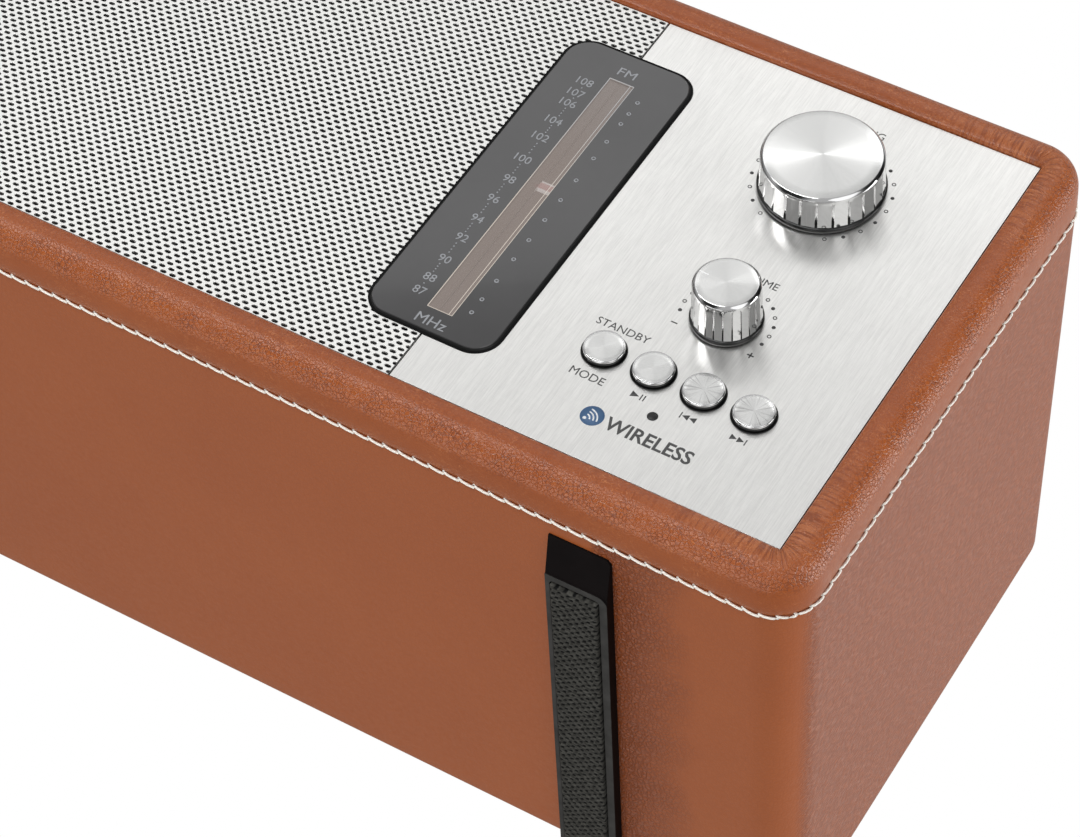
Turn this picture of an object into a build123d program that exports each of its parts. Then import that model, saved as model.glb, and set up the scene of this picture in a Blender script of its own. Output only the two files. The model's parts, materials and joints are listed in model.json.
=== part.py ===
"""Leather covered portable radio: cabinet, padded front rim, tuner, speakers, battery bay, aerial and handle.

The radio stands upright on two foot rails. +Z is up, the front faces -Y and +X is to the right of
someone looking at the front. The origin is under the middle of the whole radio, on the table.
All sizes are in millimetres.
"""

from build123d import *

import os
from math import radians

os.makedirs("parts", exist_ok=True)

# Cabinet
body_width = 380.0
panel_height = 150.0
panel_width = 117.2
rim_width = 11.25
rim_proud = 1.75
body_depth = 167.5  # from the panel face to the back edge
corner_radius = 13.7
edge_radius = 7.3
back_edge_radius = 2.4
leather = 1.2
seam_depth = 14.45
padding = 3.3

# Foot rails
foot_height = 3.5
foot_width = 18.9
foot_centre = 126.4
foot_front = 19.8
foot_back = 165.0
ramp_length = 13.7
nose_height = 0.6
ridge_step = 0.35
nose_corner, rail_corner = 2.0, 3.0
inner_rim, outer_rim, end_rim = 1.4, 2.3, 2.0
pocket_depth = 1.5
pad_proud = 1.0
pad_gap, pad_end_gap = 0.45, 1.0

# Front panel, dial and controls, placed from the lower left corner of the metal panel
gap = 0.3
plate = 1.6
dial_u, dial_v = -0.2, 75.0
dial_width, dial_height = 41.0, 117.0
dial_radius = 8.25
slot_width, slot_height = 7.9, 97.1
slot_u, slot_v = 0.42, 73.55
dial_low, dial_high = 29.5, 118.0
pointer_v = 78.3
tuning_u, tuning_v = 67.7, 115.05
tuning_radius, tuning_height = 16.6, 12.5
volume_u, volume_v = 68.25, 60.45
volume_radius, volume_height = 8.75, 14.7
shaft_radius = 3.0
running = 0.05
buttons_u = (45.5, 60.5, 75.5, 90.5)
buttons_v = 35.0
button_radius, button_height, button_travel = 5.7, 2.0, 1.2
lamp_u, lamp_v, lamp_radius = 67.65, 21.9, 1.45

# Speakers
speaker_x = (-118.0, -16.0)
speaker_v = 75.0
speaker_radius = 46.5

# Back
rear_recess = 3.0
rear_plate = 4.0
cleat = 9.0
door_x, door_z, door_width, door_height = 4.0, 32.0, 131.2, 77.2
door_plate = 2.5
hinge_out = 2.2
port_x, port_z, port_radius, port_length = -118.0, 92.0, 19.0, 80.0
aux_x, dc_x, socket_z = 112.0, 134.0, 48.0
aux_radius, dc_radius = 1.8, 3.0
aerial_x, aerial_z = 150.0, 150.0
aerial_out = 6.0  # aerial axis behind the back edge
mast_length = 190.0
clip_x = -16.0

# Handle
handle_x = 101.0
handle_depth = 70.0
pivot_height = 8.0
arm_reach = 52.0
pin_radius = 2.5

# Places worked out from the sizes above
body_height = panel_height + 2 * rim_width
ground_gap = foot_height + pad_proud
panel_left = body_width / 2 - rim_width - panel_width
panel_bottom = ground_gap + rim_width
body_centre = ground_gap + body_height / 2
body_top = ground_gap + body_height
grille_width = body_width - 2 * rim_width - panel_width
back_extent = body_depth + aerial_out + 4.5
front_y = -(back_extent - volume_height) / 2
back_y = front_y + body_depth
rear_face_y = back_y - rear_recess
rear_inside_y = rear_face_y - rear_plate
bay_width = body_width - 2 * rim_width + 2 * leather
bay_height = panel_height + 2 * leather
dial_span = dial_high - dial_low
knob_sweep = radians(300)
drum_radius = dial_span / knob_sweep
print("cord drum radius", drum_radius, "panel face at y", front_y)

# The panel plane has its origin at the metal panel's lower left corner.
# The middle plane has its origin on the centre line.
# Both face the listener, so a positive offset stands in front of the panel.
panel_plane = Plane(origin=(panel_left, front_y, panel_bottom), x_dir=(1, 0, 0), z_dir=(0, -1, 0))
middle_plane = Plane(origin=(0, front_y, body_centre), x_dir=(1, 0, 0), z_dir=(0, -1, 0))


def panel_at(depth):
    """Plane parallel to the front, this far behind the panel face, with the panel corner as its origin."""
    return panel_plane.offset(-depth)


def middle_at(depth):
    """Plane parallel to the front, this far behind the panel face, centred on the cabinet."""
    return middle_plane.offset(-depth)


def turning_plane(u, v):
    """Plane through a control's axis: its x is the radius and its y is the height above the panel face."""
    spot = (panel_left + u, front_y, panel_bottom + v)
    return Plane(origin=spot, x_dir=(1, 0, 0), z_dir=(0, 0, -1))


def turning_axis(u, v):
    """The axis of a control, square to the panel."""
    return Axis((panel_left + u, front_y, panel_bottom + v), (0, -1, 0))


def save(piece, label):
    """Labels a finished piece and writes its file."""
    piece.label = label
    export_step(piece, f"parts/{label}.step")


foot_screw_y = [front_y + 52, front_y + 138]
foot_screw_spots = [(side * foot_centre, y) for side in (-1, 1) for y in foot_screw_y]
post_spots = [(-handle_x, front_y + handle_depth), (handle_x, front_y + handle_depth)]

# ---------------------------------------------------------------- cabinet
shell_width = body_width - 2 * leather
shell_height = body_height - 2 * leather
frame_width = body_width - 2 * padding
frame_height = body_height - 2 * padding
frame_front = 2.5
cleat_front = body_depth - rear_recess - rear_plate - 10

with BuildPart() as cabinet_shell:
    with BuildSketch(middle_at(seam_depth)):
        RectangleRounded(shell_width, shell_height, corner_radius - leather)
        Rectangle(bay_width, bay_height, mode=Mode.SUBTRACT)
    extrude(amount=-(body_depth - leather - seam_depth))
    with BuildSketch(middle_at(frame_front)):
        RectangleRounded(frame_width, frame_height, corner_radius - padding)
        Rectangle(bay_width, bay_height, mode=Mode.SUBTRACT)
    extrude(amount=-(seam_depth - frame_front))
    with BuildSketch(middle_at(cleat_front)):
        Rectangle(bay_width, bay_height)
        Rectangle(bay_width - 2 * cleat, bay_height - 2 * cleat, mode=Mode.SUBTRACT)
    extrude(amount=-10)
    for x, y in foot_screw_spots:
        with Locations((x, y, ground_gap)):
            Cylinder(1.5, 16, mode=Mode.SUBTRACT)
    for x, y in post_spots:
        with Locations((x, y, body_top)):
            Cylinder(pin_radius, 30, mode=Mode.SUBTRACT)
save(cabinet_shell.part, "cabinet_shell")

with BuildPart() as leather_wrap:
    with BuildSketch(middle_at(seam_depth)):
        RectangleRounded(body_width, body_height, corner_radius)
    extrude(amount=-(body_depth - seam_depth))
    back_edges = leather_wrap.faces().sort_by(Axis.Y)[-1].edges()
    fillet(back_edges, radius=back_edge_radius)
    with BuildSketch(middle_at(seam_depth)):
        RectangleRounded(shell_width, shell_height, corner_radius - leather)
    extrude(amount=-(body_depth - leather - seam_depth), mode=Mode.SUBTRACT)
    with BuildSketch(middle_at(body_depth - leather)):
        Rectangle(bay_width, bay_height)
    extrude(amount=-leather, mode=Mode.SUBTRACT)
    for x, y in foot_screw_spots:
        with Locations((x, y, ground_gap)):
            Cylinder(1.5, 6, mode=Mode.SUBTRACT)
    for x, y in post_spots:
        with Locations((x, y, body_top)):
            Cylinder(pin_radius, 6, mode=Mode.SUBTRACT)
save(leather_wrap.part, "leather_wrap")

with BuildPart() as front_bolster:
    with BuildSketch(middle_at(-rim_proud)):
        RectangleRounded(body_width, body_height, corner_radius)
    extrude(amount=-(seam_depth + rim_proud))
    front_edges = front_bolster.faces().sort_by(Axis.Y)[0].edges()
    fillet(front_edges, radius=edge_radius)
    with BuildSketch(middle_at(-rim_proud)):
        Rectangle(body_width - 2 * rim_width, panel_height)
    extrude(amount=-(seam_depth + rim_proud), mode=Mode.SUBTRACT)
    with BuildSketch(middle_at(frame_front)):
        RectangleRounded(frame_width, frame_height, corner_radius - padding)
        Rectangle(bay_width, bay_height, mode=Mode.SUBTRACT)
    extrude(amount=-(seam_depth - frame_front), mode=Mode.SUBTRACT)
    inner_edges = front_bolster.faces().sort_by(Axis.Y)[0].inner_wires()[0].edges()
    chamfer(inner_edges, length=1.0)
save(front_bolster.part, "front_bolster")

# ---------------------------------------------------------------- front board and skins
board_thickness = 9.0
board_back = plate + board_thickness
opening_width, opening_height = dial_width - 10, dial_height - 10
speaker_spots = [(x - panel_left, speaker_v) for x in speaker_x]

with BuildPart() as front_baffle:
    with BuildSketch(middle_at(plate)):
        Rectangle(body_width - 2 * rim_width - 0.4, panel_height - 0.4)
    extrude(amount=-(seam_depth - plate))
    with BuildSketch(middle_at(seam_depth)):
        Rectangle(bay_width - 0.4, bay_height - 0.4)
    extrude(amount=-4)
    with BuildSketch(middle_at(board_back)):
        Rectangle(body_width - 2 * rim_width - 16, panel_height - 16)
    extrude(amount=-(seam_depth + 4 - board_back), mode=Mode.SUBTRACT)
    with BuildSketch(panel_at(plate)):
        with Locations(*speaker_spots):
            Circle(speaker_radius - 6)
        with Locations((dial_u, dial_v)):
            Rectangle(opening_width, opening_height)
        with Locations((tuning_u, tuning_v), (volume_u, volume_v)):
            Circle(6)
        with Locations(*[(u, buttons_v) for u in buttons_u]):
            Circle(button_radius + 0.9)
        with Locations((lamp_u, lamp_v)):
            Circle(lamp_radius + 1)
    extrude(amount=-board_thickness, mode=Mode.SUBTRACT)
save(front_baffle.part, "front_baffle")

mesh_plate, cloth_plate = 0.8, 0.4
with BuildPart() as grille_cloth:
    with BuildSketch(panel_at(plate - cloth_plate)):
        with Locations((-grille_width / 2, panel_height / 2)):
            Rectangle(grille_width - 0.8, panel_height - 0.8)
        with Locations((dial_u, dial_v)):
            RectangleRounded(dial_width + 0.6, dial_height + 0.6, dial_radius + 0.3, mode=Mode.SUBTRACT)
    extrude(amount=-cloth_plate)
save(grille_cloth.part, "grille_cloth")

with BuildPart() as grille_mesh:
    with BuildSketch(panel_at(0)) as grille_outline:
        with Locations((-grille_width / 2, panel_height / 2)):
            Rectangle(grille_width - 2 * gap, panel_height - 2 * gap)
        with Locations((dial_u, dial_v)):
            RectangleRounded(dial_width + 0.2, dial_height + 0.2, dial_radius + 0.1, mode=Mode.SUBTRACT)
    extrude(amount=-mesh_plate)
    with BuildSketch(panel_at(mesh_plate)):
        add(grille_outline.sketch_local)
        offset(amount=-mesh_plate, kind=Kind.INTERSECTION, mode=Mode.SUBTRACT)
    extrude(amount=-(plate - cloth_plate - mesh_plate))
save(grille_mesh.part, "grille_mesh")

with BuildPart() as control_panel:
    with BuildSketch(panel_at(0)):
        with Locations((panel_width / 2, panel_height / 2)):
            Rectangle(panel_width - 2 * gap, panel_height - 2 * gap)
        with Locations((dial_u, dial_v)):
            RectangleRounded(dial_width + 0.2, dial_height + 0.2, dial_radius + 0.1, mode=Mode.SUBTRACT)
        with Locations((tuning_u, tuning_v), (volume_u, volume_v)):
            Circle(shaft_radius + 0.8, mode=Mode.SUBTRACT)
        with Locations(*[(u, buttons_v) for u in buttons_u]):
            Circle(button_radius + 0.6, mode=Mode.SUBTRACT)
        with Locations((lamp_u, lamp_v)):
            Circle(lamp_radius + 0.05, mode=Mode.SUBTRACT)
    extrude(amount=-plate)
save(control_panel.part, "control_panel")

# ---------------------------------------------------------------- dial
with BuildPart() as dial_gasket:
    with BuildSketch(panel_at(-0.15)):
        with Locations((dial_u, dial_v)):
            RectangleRounded(dial_width, dial_height, dial_radius)
            RectangleRounded(dial_width - 1.4, dial_height - 1.4, dial_radius - 0.7, mode=Mode.SUBTRACT)
    extrude(amount=-(plate + 0.15))
save(dial_gasket.part, "dial_gasket")

lens_proud, window_plate = 0.8, 1.0
with BuildPart() as dial_lens:
    with BuildSketch(panel_at(-lens_proud)):
        with Locations((dial_u, dial_v)):
            RectangleRounded(dial_width - 1.4, dial_height - 1.4, dial_radius - 0.7)
    extrude(amount=-(lens_proud + plate))
    lens_edges = dial_lens.faces().sort_by(Axis.Y)[0].edges()
    chamfer(lens_edges, length=0.6)
    with BuildSketch(panel_at(-lens_proud)):
        with Locations((slot_u, slot_v)):
            Rectangle(slot_width, slot_height)
    extrude(amount=-(lens_proud + plate), mode=Mode.SUBTRACT)
save(dial_lens.part, "dial_lens")

with BuildPart() as dial_window:
    with BuildSketch(panel_at(-lens_proud)):
        with Locations((slot_u, slot_v)):
            Rectangle(slot_width, slot_height)
    extrude(amount=-window_plate)
save(dial_window.part, "dial_window")

guide_front, guide_back = 3.6, 6.6
with BuildPart() as light_guide:
    with BuildSketch(panel_at(guide_front)):
        with Locations((-3.3, slot_v)):
            Rectangle(17.4, slot_height + 6)
        with Locations((dial_u, dial_v - opening_height / 2 + 2), (dial_u, dial_v + opening_height / 2 - 2)):
            Rectangle(opening_width, 4)
    extrude(amount=-(guide_back - guide_front))
save(light_guide.part, "light_guide")

# The carriage climbs a rod beside the light guide. Its flag stands between guide and window,
# on an arm that passes behind the lens.
rail_u, rail_depth, rail_radius = 12.0, 17.0, 1.5
cord_depth = 25.0
flag_front, flag_height = 0.5, 3.0
arm_front, arm_plate = plate + 0.1, 1.6
cord_half = 0.4
idler_radius = 4.0
run_u = 17.5  # the cord's upright run
idler_u = run_u + idler_radius
idlers_v = {"lower_idler": 20.0, "upper_idler": 130.0}

with BuildPart() as dial_pointer:
    with BuildSketch(panel_at(flag_front)):
        with Locations((1.75, pointer_v)):
            Rectangle(4.5, flag_height)
    extrude(amount=-(arm_front - flag_front))
    with BuildSketch(panel_at(arm_front)):
        with Locations((5.9, pointer_v)):
            Rectangle(5.8, flag_height)
    extrude(amount=-arm_plate)
    with BuildSketch(panel_at(arm_front + arm_plate)):
        with Locations((7.4, pointer_v)):
            Rectangle(2.8, flag_height)
    extrude(amount=-(rail_depth - arm_front - arm_plate))
    with BuildSketch(panel_at(rail_depth - 3)):
        with Locations((10.9, pointer_v)):
            Rectangle(9.8, 8)
    extrude(amount=-6)
    with BuildSketch(panel_at(rail_depth + 3)):
        with Locations((13.5, pointer_v)):
            Rectangle(15, 6)
    extrude(amount=-(cord_depth - rail_depth))
    with Locations((panel_left + rail_u, front_y + rail_depth, panel_bottom + pointer_v)):
        Cylinder(rail_radius + running, 20, mode=Mode.SUBTRACT)
    with Locations((panel_left + run_u, front_y + cord_depth, panel_bottom + pointer_v)):
        Box(2 * cord_half + 0.6, 2 * cord_half + 0.6, 20, mode=Mode.SUBTRACT)
save(dial_pointer.part, "dial_pointer")

# A sheet metal bracket behind the board carries both idlers and the tuning capacitor.
# The carriage's rod is fast in it, in one piece.
bracket_depth, bracket_plate = 32.0, 1.5
bracket_low, bracket_high = 8.5, 141.5
with BuildPart() as mechanism_bracket:
    with BuildSketch(panel_at(bracket_depth)):
        with Locations((48, (bracket_low + bracket_high) / 2)):
            Rectangle(88, bracket_high - bracket_low)
        with Locations((volume_u, 40)):
            RectangleRounded(34, 46, 4, mode=Mode.SUBTRACT)
        with Locations((tuning_u, tuning_v)):
            Circle(shaft_radius + 0.5, mode=Mode.SUBTRACT)
    extrude(amount=-bracket_plate)
    for v in (bracket_low + 0.75, bracket_high - 0.75):
        with BuildSketch(panel_at(board_back)):
            with Locations((48, v)):
                Rectangle(88, 1.5)
        extrude(amount=-(bracket_depth - board_back))
    for v in idlers_v.values():
        with BuildSketch(panel_at(cord_depth - 3)):
            with Locations((idler_u, v)):
                Circle(1.5)
        extrude(amount=-(bracket_depth - cord_depth + 3))
    with Locations((panel_left + rail_u, front_y + rail_depth, panel_bottom + bracket_low)):
        Cylinder(rail_radius, bracket_high - bracket_low, align=(Align.CENTER, Align.CENTER, Align.MIN))
save(mechanism_bracket.part, "mechanism_bracket")

pulleys = [(idler_u, idlers_v["lower_idler"], idler_radius)]
pulleys.append((idler_u, idlers_v["upper_idler"], idler_radius))
pulleys.append((tuning_u, tuning_v, drum_radius))
with BuildPart() as dial_cord:
    with BuildSketch(panel_at(cord_depth - cord_half)):
        for u, v, radius in pulleys:
            with Locations((u, v)):
                Circle(radius + cord_half)
        make_hull()
        with BuildSketch(mode=Mode.PRIVATE) as inside_loop:
            for u, v, radius in pulleys:
                with Locations((u, v)):
                    Circle(radius - cord_half)
            make_hull()
        add(inside_loop.sketch, mode=Mode.SUBTRACT)
    extrude(amount=-2 * cord_half)
save(dial_cord.part, "dial_cord")

for name, v in idlers_v.items():
    with BuildPart() as idler:
        with BuildSketch(turning_plane(idler_u, v)):
            with BuildLine():
                groove = idler_radius - cord_half - 0.3
                wide = idler_radius + 1.4
                bore = 1.5 + running
                Polyline(
                    (bore, 2 - cord_depth),
                    (wide, 2 - cord_depth),
                    (wide, 1.2 - cord_depth),
                    (groove, 1 - cord_depth),
                    (groove, -1 - cord_depth),
                    (wide, -1.2 - cord_depth),
                    (wide, -2 - cord_depth),
                    (bore, -2 - cord_depth),
                    close=True,
                )
            make_face()
        revolve(axis=turning_axis(idler_u, v))
    save(idler.part, name)

# ---------------------------------------------------------------- knobs
flute_count = 24


def knob(u, v, radius, height, ring_radius, bore_depth, index):
    """A turned knob: base ring, fluted and slightly conical side, bevelled top, and an index cut."""
    with BuildPart() as turned:
        with BuildSketch(turning_plane(u, v)):
            with BuildLine():
                Polyline(
                    (0, 0.3),
                    (ring_radius, 0.3),
                    (ring_radius, 1.2),
                    (radius + 0.9, 1.6),
                    (radius + 0.45, height - 1.4),
                    (radius, height),
                    (0, height),
                    close=True,
                )
            make_face()
        revolve(axis=turning_axis(u, v))
        with BuildSketch(panel_plane.offset(1.6)):
            with Locations((u, v)):
                with PolarLocations(radius + 0.8, flute_count):
                    Rectangle(1.1, 0.5)
        extrude(amount=height - 3.4, mode=Mode.SUBTRACT)
        if index:
            with BuildSketch(panel_plane.offset(height)):
                with Locations((u - radius + 1.2, v)):
                    Rectangle(3, 0.7)
            extrude(amount=-0.3, mode=Mode.SUBTRACT)
        with BuildSketch(panel_plane.offset(0.3)):
            with Locations((u, v)):
                Circle(shaft_radius)
        extrude(amount=bore_depth, mode=Mode.SUBTRACT)
    return turned.part


save(knob(tuning_u, tuning_v, tuning_radius, tuning_height, 18.0, 8.7, False), "tuning_knob")
save(knob(volume_u, volume_v, volume_radius, volume_height, 10.1, 10.7, True), "volume_knob")

# The tuning shaft carries the cord drum and turns the capacitor's vanes.
shaft_back = 44.0
with BuildPart() as tuning_shaft:
    with BuildSketch(turning_plane(tuning_u, tuning_v)):
        with BuildLine():
            groove = drum_radius - cord_half - 0.3
            wide = drum_radius + 1.6
            Polyline(
                (0, 9),
                (shaft_radius, 9),
                (shaft_radius, 2 - cord_depth),
                (wide, 2 - cord_depth),
                (wide, 1.2 - cord_depth),
                (groove, 1 - cord_depth),
                (groove, -1 - cord_depth),
                (wide, -1.2 - cord_depth),
                (wide, -2 - cord_depth),
                (shaft_radius, -2 - cord_depth),
                (shaft_radius, -shaft_back),
                (0, -shaft_back),
                close=True,
            )
        make_face()
    revolve(axis=turning_axis(tuning_u, tuning_v))
save(tuning_shaft.part, "tuning_shaft")

with BuildPart() as tuning_capacitor:
    with BuildSketch(panel_at(bracket_depth + bracket_plate)):
        with Locations((tuning_u, tuning_v)):
            RectangleRounded(26, 26, 2)
            Circle(shaft_radius + running, mode=Mode.SUBTRACT)
    extrude(amount=-14)
    with BuildSketch(panel_at(bracket_depth + bracket_plate + 14)):
        with Locations((tuning_u, tuning_v)):
            RectangleRounded(26, 26, 2)
    extrude(amount=-3)
save(tuning_capacitor.part, "tuning_capacitor")

with BuildPart() as volume_shaft:
    with BuildSketch(panel_plane.offset(11)):
        with Locations((volume_u, volume_v)):
            Circle(shaft_radius)
    extrude(amount=-26)
save(volume_shaft.part, "volume_shaft")

with BuildPart() as volume_potentiometer:
    with BuildSketch(panel_at(plate)):
        with Locations((volume_u, volume_v)):
            Circle(4.6)
    extrude(amount=-(board_back - plate))
    with BuildSketch(panel_at(board_back)):
        with Locations((volume_u, volume_v)):
            Circle(8.5)
    extrude(amount=-9)
    with BuildSketch(panel_at(plate)):
        with Locations((volume_u, volume_v)):
            Circle(shaft_radius + running)
    extrude(amount=-15, mode=Mode.SUBTRACT)
save(volume_potentiometer.part, "volume_potentiometer")

# ---------------------------------------------------------------- buttons and lamp
button_spots = [(u, buttons_v) for u in buttons_u]
with BuildPart() as button_collars:
    with BuildSketch(panel_at(-0.25)):
        with Locations(*button_spots):
            Circle(button_radius + 0.6)
        with Locations(*button_spots):
            Circle(button_radius + 0.3, mode=Mode.SUBTRACT)
    extrude(amount=-(board_back + 0.25))
save(button_collars.part, "button_collars")

button_names = ("standby_button", "play_button", "previous_button", "next_button")
switch_top = 8.5
for name, u in zip(button_names, buttons_u):
    with BuildPart() as button:
        with BuildSketch(turning_plane(u, buttons_v)):
            with BuildLine():
                Polyline(
                    (0, button_height),
                    (button_radius - 0.35, button_height),
                    (button_radius, button_height - 0.35),
                    (button_radius, -3),
                    (2, -3),
                    (2, button_travel + 0.2 - switch_top),
                    (0, button_travel + 0.2 - switch_top),
                    close=True,
                )
            make_face()
        revolve(axis=turning_axis(u, buttons_v))
    save(button.part, name)

with BuildPart() as switch_board:
    with BuildSketch(panel_at(board_back)):
        with Locations((68, 33)):
            Rectangle(62, 30)
    extrude(amount=-1.6)
    with BuildSketch(panel_at(board_back)):
        with Locations(*button_spots):
            Rectangle(6, 6)
    extrude(amount=1.4)
    with BuildSketch(panel_at(board_back - 1.4)):
        with Locations(*button_spots):
            Circle(1.7)
    extrude(amount=board_back - 1.4 - switch_top)
save(switch_board.part, "switch_board")

with BuildPart() as indicator_lens:
    with BuildSketch(turning_plane(lamp_u, lamp_v)):
        with BuildLine():
            Polyline(
                (0, 0.4),
                (0.7, 0.3),
                (lamp_radius, 0),
                (lamp_radius, 1.6 - board_back),
                (0, 1.6 - board_back),
                close=True,
            )
        make_face()
    revolve(axis=turning_axis(lamp_u, lamp_v))
save(indicator_lens.part, "indicator_lens")

# ---------------------------------------------------------------- speakers
for side, x in zip(("left", "right"), speaker_x):
    speaker_u = x - panel_left
    spindle = turning_axis(speaker_u, speaker_v)
    section = turning_plane(speaker_u, speaker_v)
    back = -board_back
    roll = speaker_radius - 10
    with BuildPart() as frame:
        with BuildSketch(section):
            with BuildLine():
                Polyline(
                    (speaker_radius, back),
                    (speaker_radius, back - 2),
                    (speaker_radius - 4, back - 2),
                    (22, back - 26),
                    (22, back - 30),
                    (10, back - 30),
                    (10, back - 28),
                    (20, back - 28),
                    (20, back - 25),
                    (speaker_radius - 6, back - 1.4),
                    (speaker_radius - 6, back),
                    close=True,
                )
            make_face()
        revolve(axis=spindle)
        with BuildSketch(panel_at(board_back + 4)):
            with Locations((speaker_u, speaker_v)):
                with PolarLocations(31, 4, start_angle=45):
                    Rectangle(14, 22)
        extrude(amount=-18, mode=Mode.SUBTRACT)
    save(frame.part, f"{side}_speaker_frame")

    with BuildPart() as cone:
        with BuildSketch(section):
            with BuildLine():
                Polyline(
                    (speaker_radius - 13, back - 0.8),
                    (speaker_radius - 13, back - 1.6),
                    (12, back - 15.6),
                    (9, back - 27.6),
                    (8.4, back - 27.6),
                    (8.4, back - 15.2),
                    (11.4, back - 14.6),
                    close=True,
                )
            make_face()
        revolve(axis=spindle)
        with BuildSketch(section):
            with BuildLine():
                Polyline(
                    (0, back - 9.2),
                    (6.6, back - 10.6),
                    (11.6, back - 14.6),
                    (10.8, back - 15.2),
                    (6.2, back - 11.4),
                    (0, back - 10),
                    close=True,
                )
            make_face()
        revolve(axis=spindle)
        with BuildSketch(section):
            with BuildLine():
                ThreePointArc((roll - 3, back - 0.8), (roll, back + 2.2), (roll + 3, back - 0.8))
                Polyline(
                    (roll + 3, back - 0.8),
                    (roll + 4, back - 0.8),
                    (roll + 4, back - 1.4),
                    (roll + 2.4, back - 1.4),
                )
                ThreePointArc((roll + 2.4, back - 1.4), (roll, back + 1.5), (roll - 2.4, back - 1.4))
                Polyline((roll - 2.4, back - 1.4), (roll - 3, back - 1.4), (roll - 3, back - 0.8))
            make_face()
        revolve(axis=spindle)
    save(cone.part, f"{side}_speaker_cone")

    with BuildPart() as magnet:
        with BuildSketch(section):
            with BuildLine():
                Polyline(
                    (10, back - 30),
                    (26, back - 30),
                    (26, back - 46),
                    (0, back - 46),
                    (0, back - 30),
                    (7.8, back - 30),
                    (7.8, back - 42),
                    (10, back - 42),
                    close=True,
                )
            make_face()
        revolve(axis=spindle)
    save(magnet.part, f"{side}_speaker_magnet")

# ---------------------------------------------------------------- back
rear_screw_spots = [(x, z) for x in (-172.0, -60.0, 60.0, 172.0) for z in (24.0, 157.5)]
rear_outside = Plane(origin=(0, rear_face_y, 0), x_dir=(-1, 0, 0), z_dir=(0, 1, 0))


def rear_spot(x, z):
    """A place on the rear plane, whose x runs to the left of someone looking at the front."""
    return (-x, z)


hinge_y = rear_face_y + hinge_out
hinge_spots = (door_x - 42, door_x + 42)
with BuildPart() as rear_panel:
    with BuildSketch(rear_outside):
        with Locations(rear_spot(0, body_centre)):
            Rectangle(bay_width - 0.6, bay_height - 0.6)
        with Locations(rear_spot(door_x, door_z + door_height / 2)):
            Rectangle(door_width + 0.8, door_height + 0.8, mode=Mode.SUBTRACT)
        with Locations(rear_spot(port_x, port_z)):
            Circle(port_radius, mode=Mode.SUBTRACT)
        with Locations(rear_spot(aux_x, socket_z)):
            Circle(4, mode=Mode.SUBTRACT)
        with Locations(rear_spot(dc_x, socket_z)):
            Circle(5.5, mode=Mode.SUBTRACT)
        with Locations(rear_spot(aerial_x, aerial_z)):
            Circle(4, mode=Mode.SUBTRACT)
        with Locations(*[rear_spot(x, z) for x, z in rear_screw_spots]):
            Circle(1.7, mode=Mode.SUBTRACT)
    extrude(amount=-rear_plate)
    for x in hinge_spots:
        for ear in (-7.5, 7.5):
            with Locations((x + ear, rear_face_y, door_z - 0.4)):
                Box(3, 2 * hinge_out, 4, align=(Align.CENTER, Align.MIN, Align.MAX))
            with Locations((x + ear, hinge_y, door_z)):
                Cylinder(2, 3, rotation=(0, 90, 0))
        with Locations((x, hinge_y, door_z)):
            Cylinder(1, 13, rotation=(0, 90, 0))
save(rear_panel.part, "rear_panel")

with BuildPart() as battery_door:
    with BuildSketch(rear_outside):
        with Locations(rear_spot(door_x, door_z + door_height / 2)):
            Rectangle(door_width, door_height)
    extrude(amount=-door_plate)
    with Locations((door_x, rear_face_y, door_z + door_height - 7)):
        Box(24, 1.6, 5, mode=Mode.SUBTRACT)
    for x in hinge_spots:
        with Locations((x, rear_face_y - 0.5, door_z)):
            Box(10, hinge_out + 0.5, 3, align=(Align.CENTER, Align.MIN, Align.MIN))
        with Locations((x, hinge_y, door_z)):
            Cylinder(2, 10, rotation=(0, 90, 0))
        with Locations((x, hinge_y, door_z)):
            Cylinder(1 + running, 20, rotation=(0, 90, 0), mode=Mode.SUBTRACT)
save(battery_door.part, "battery_door")

cell_radius, cell_length = 16.6, 61.0
tray_depth = 38.0
tray_width, tray_height = door_width - 3, door_height - 3
tray_centre_z = door_z + door_height / 2
tray_front_y = rear_inside_y - tray_depth
with BuildPart() as battery_tray:
    with Locations((door_x, rear_inside_y, tray_centre_z)):
        Box(tray_width + 9, tray_depth + 2, tray_height + 9, align=(Align.CENTER, Align.MAX, Align.CENTER))
        Box(
            tray_width,
            tray_depth,
            tray_height,
            align=(Align.CENTER, Align.MAX, Align.CENTER),
            mode=Mode.SUBTRACT,
        )
save(battery_tray.part, "battery_tray")

cell_spots = [(side, row) for side in (-1, 1) for row in (-1, 1)]
cell_y = tray_front_y + cell_radius + 0.5
with BuildPart() as batteries:
    for side, row in cell_spots:
        spot = (door_x + side * (cell_length / 2 + 0.2), cell_y, tray_centre_z + row * (cell_radius + 1.4))
        with Locations(spot):
            Cylinder(cell_radius, cell_length - 2, rotation=(0, 90, 0))
save(batteries.part, "batteries")

with BuildPart() as battery_contacts:
    for side, row in cell_spots:
        spot = (door_x + side * (tray_width / 2 - 0.3), cell_y, tray_centre_z + row * (cell_radius + 1.4))
        with Locations(spot):
            Box(0.6, 20, 20)
            with Locations((-side * 1.2, 0, 0)):
                Cylinder(5, 1.8, rotation=(0, 90, 0))
save(battery_contacts.part, "battery_contacts")

with BuildPart() as bass_port:
    with BuildSketch(rear_outside.offset(1)):
        with Locations(rear_spot(port_x, port_z)):
            Circle(port_radius + 3)
            Circle(port_radius - 2, mode=Mode.SUBTRACT)
    extrude(amount=-1)
    with BuildSketch(rear_outside):
        with Locations(rear_spot(port_x, port_z)):
            Circle(port_radius)
            Circle(port_radius - 2, mode=Mode.SUBTRACT)
    extrude(amount=-port_length)
save(bass_port.part, "bass_port")

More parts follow.
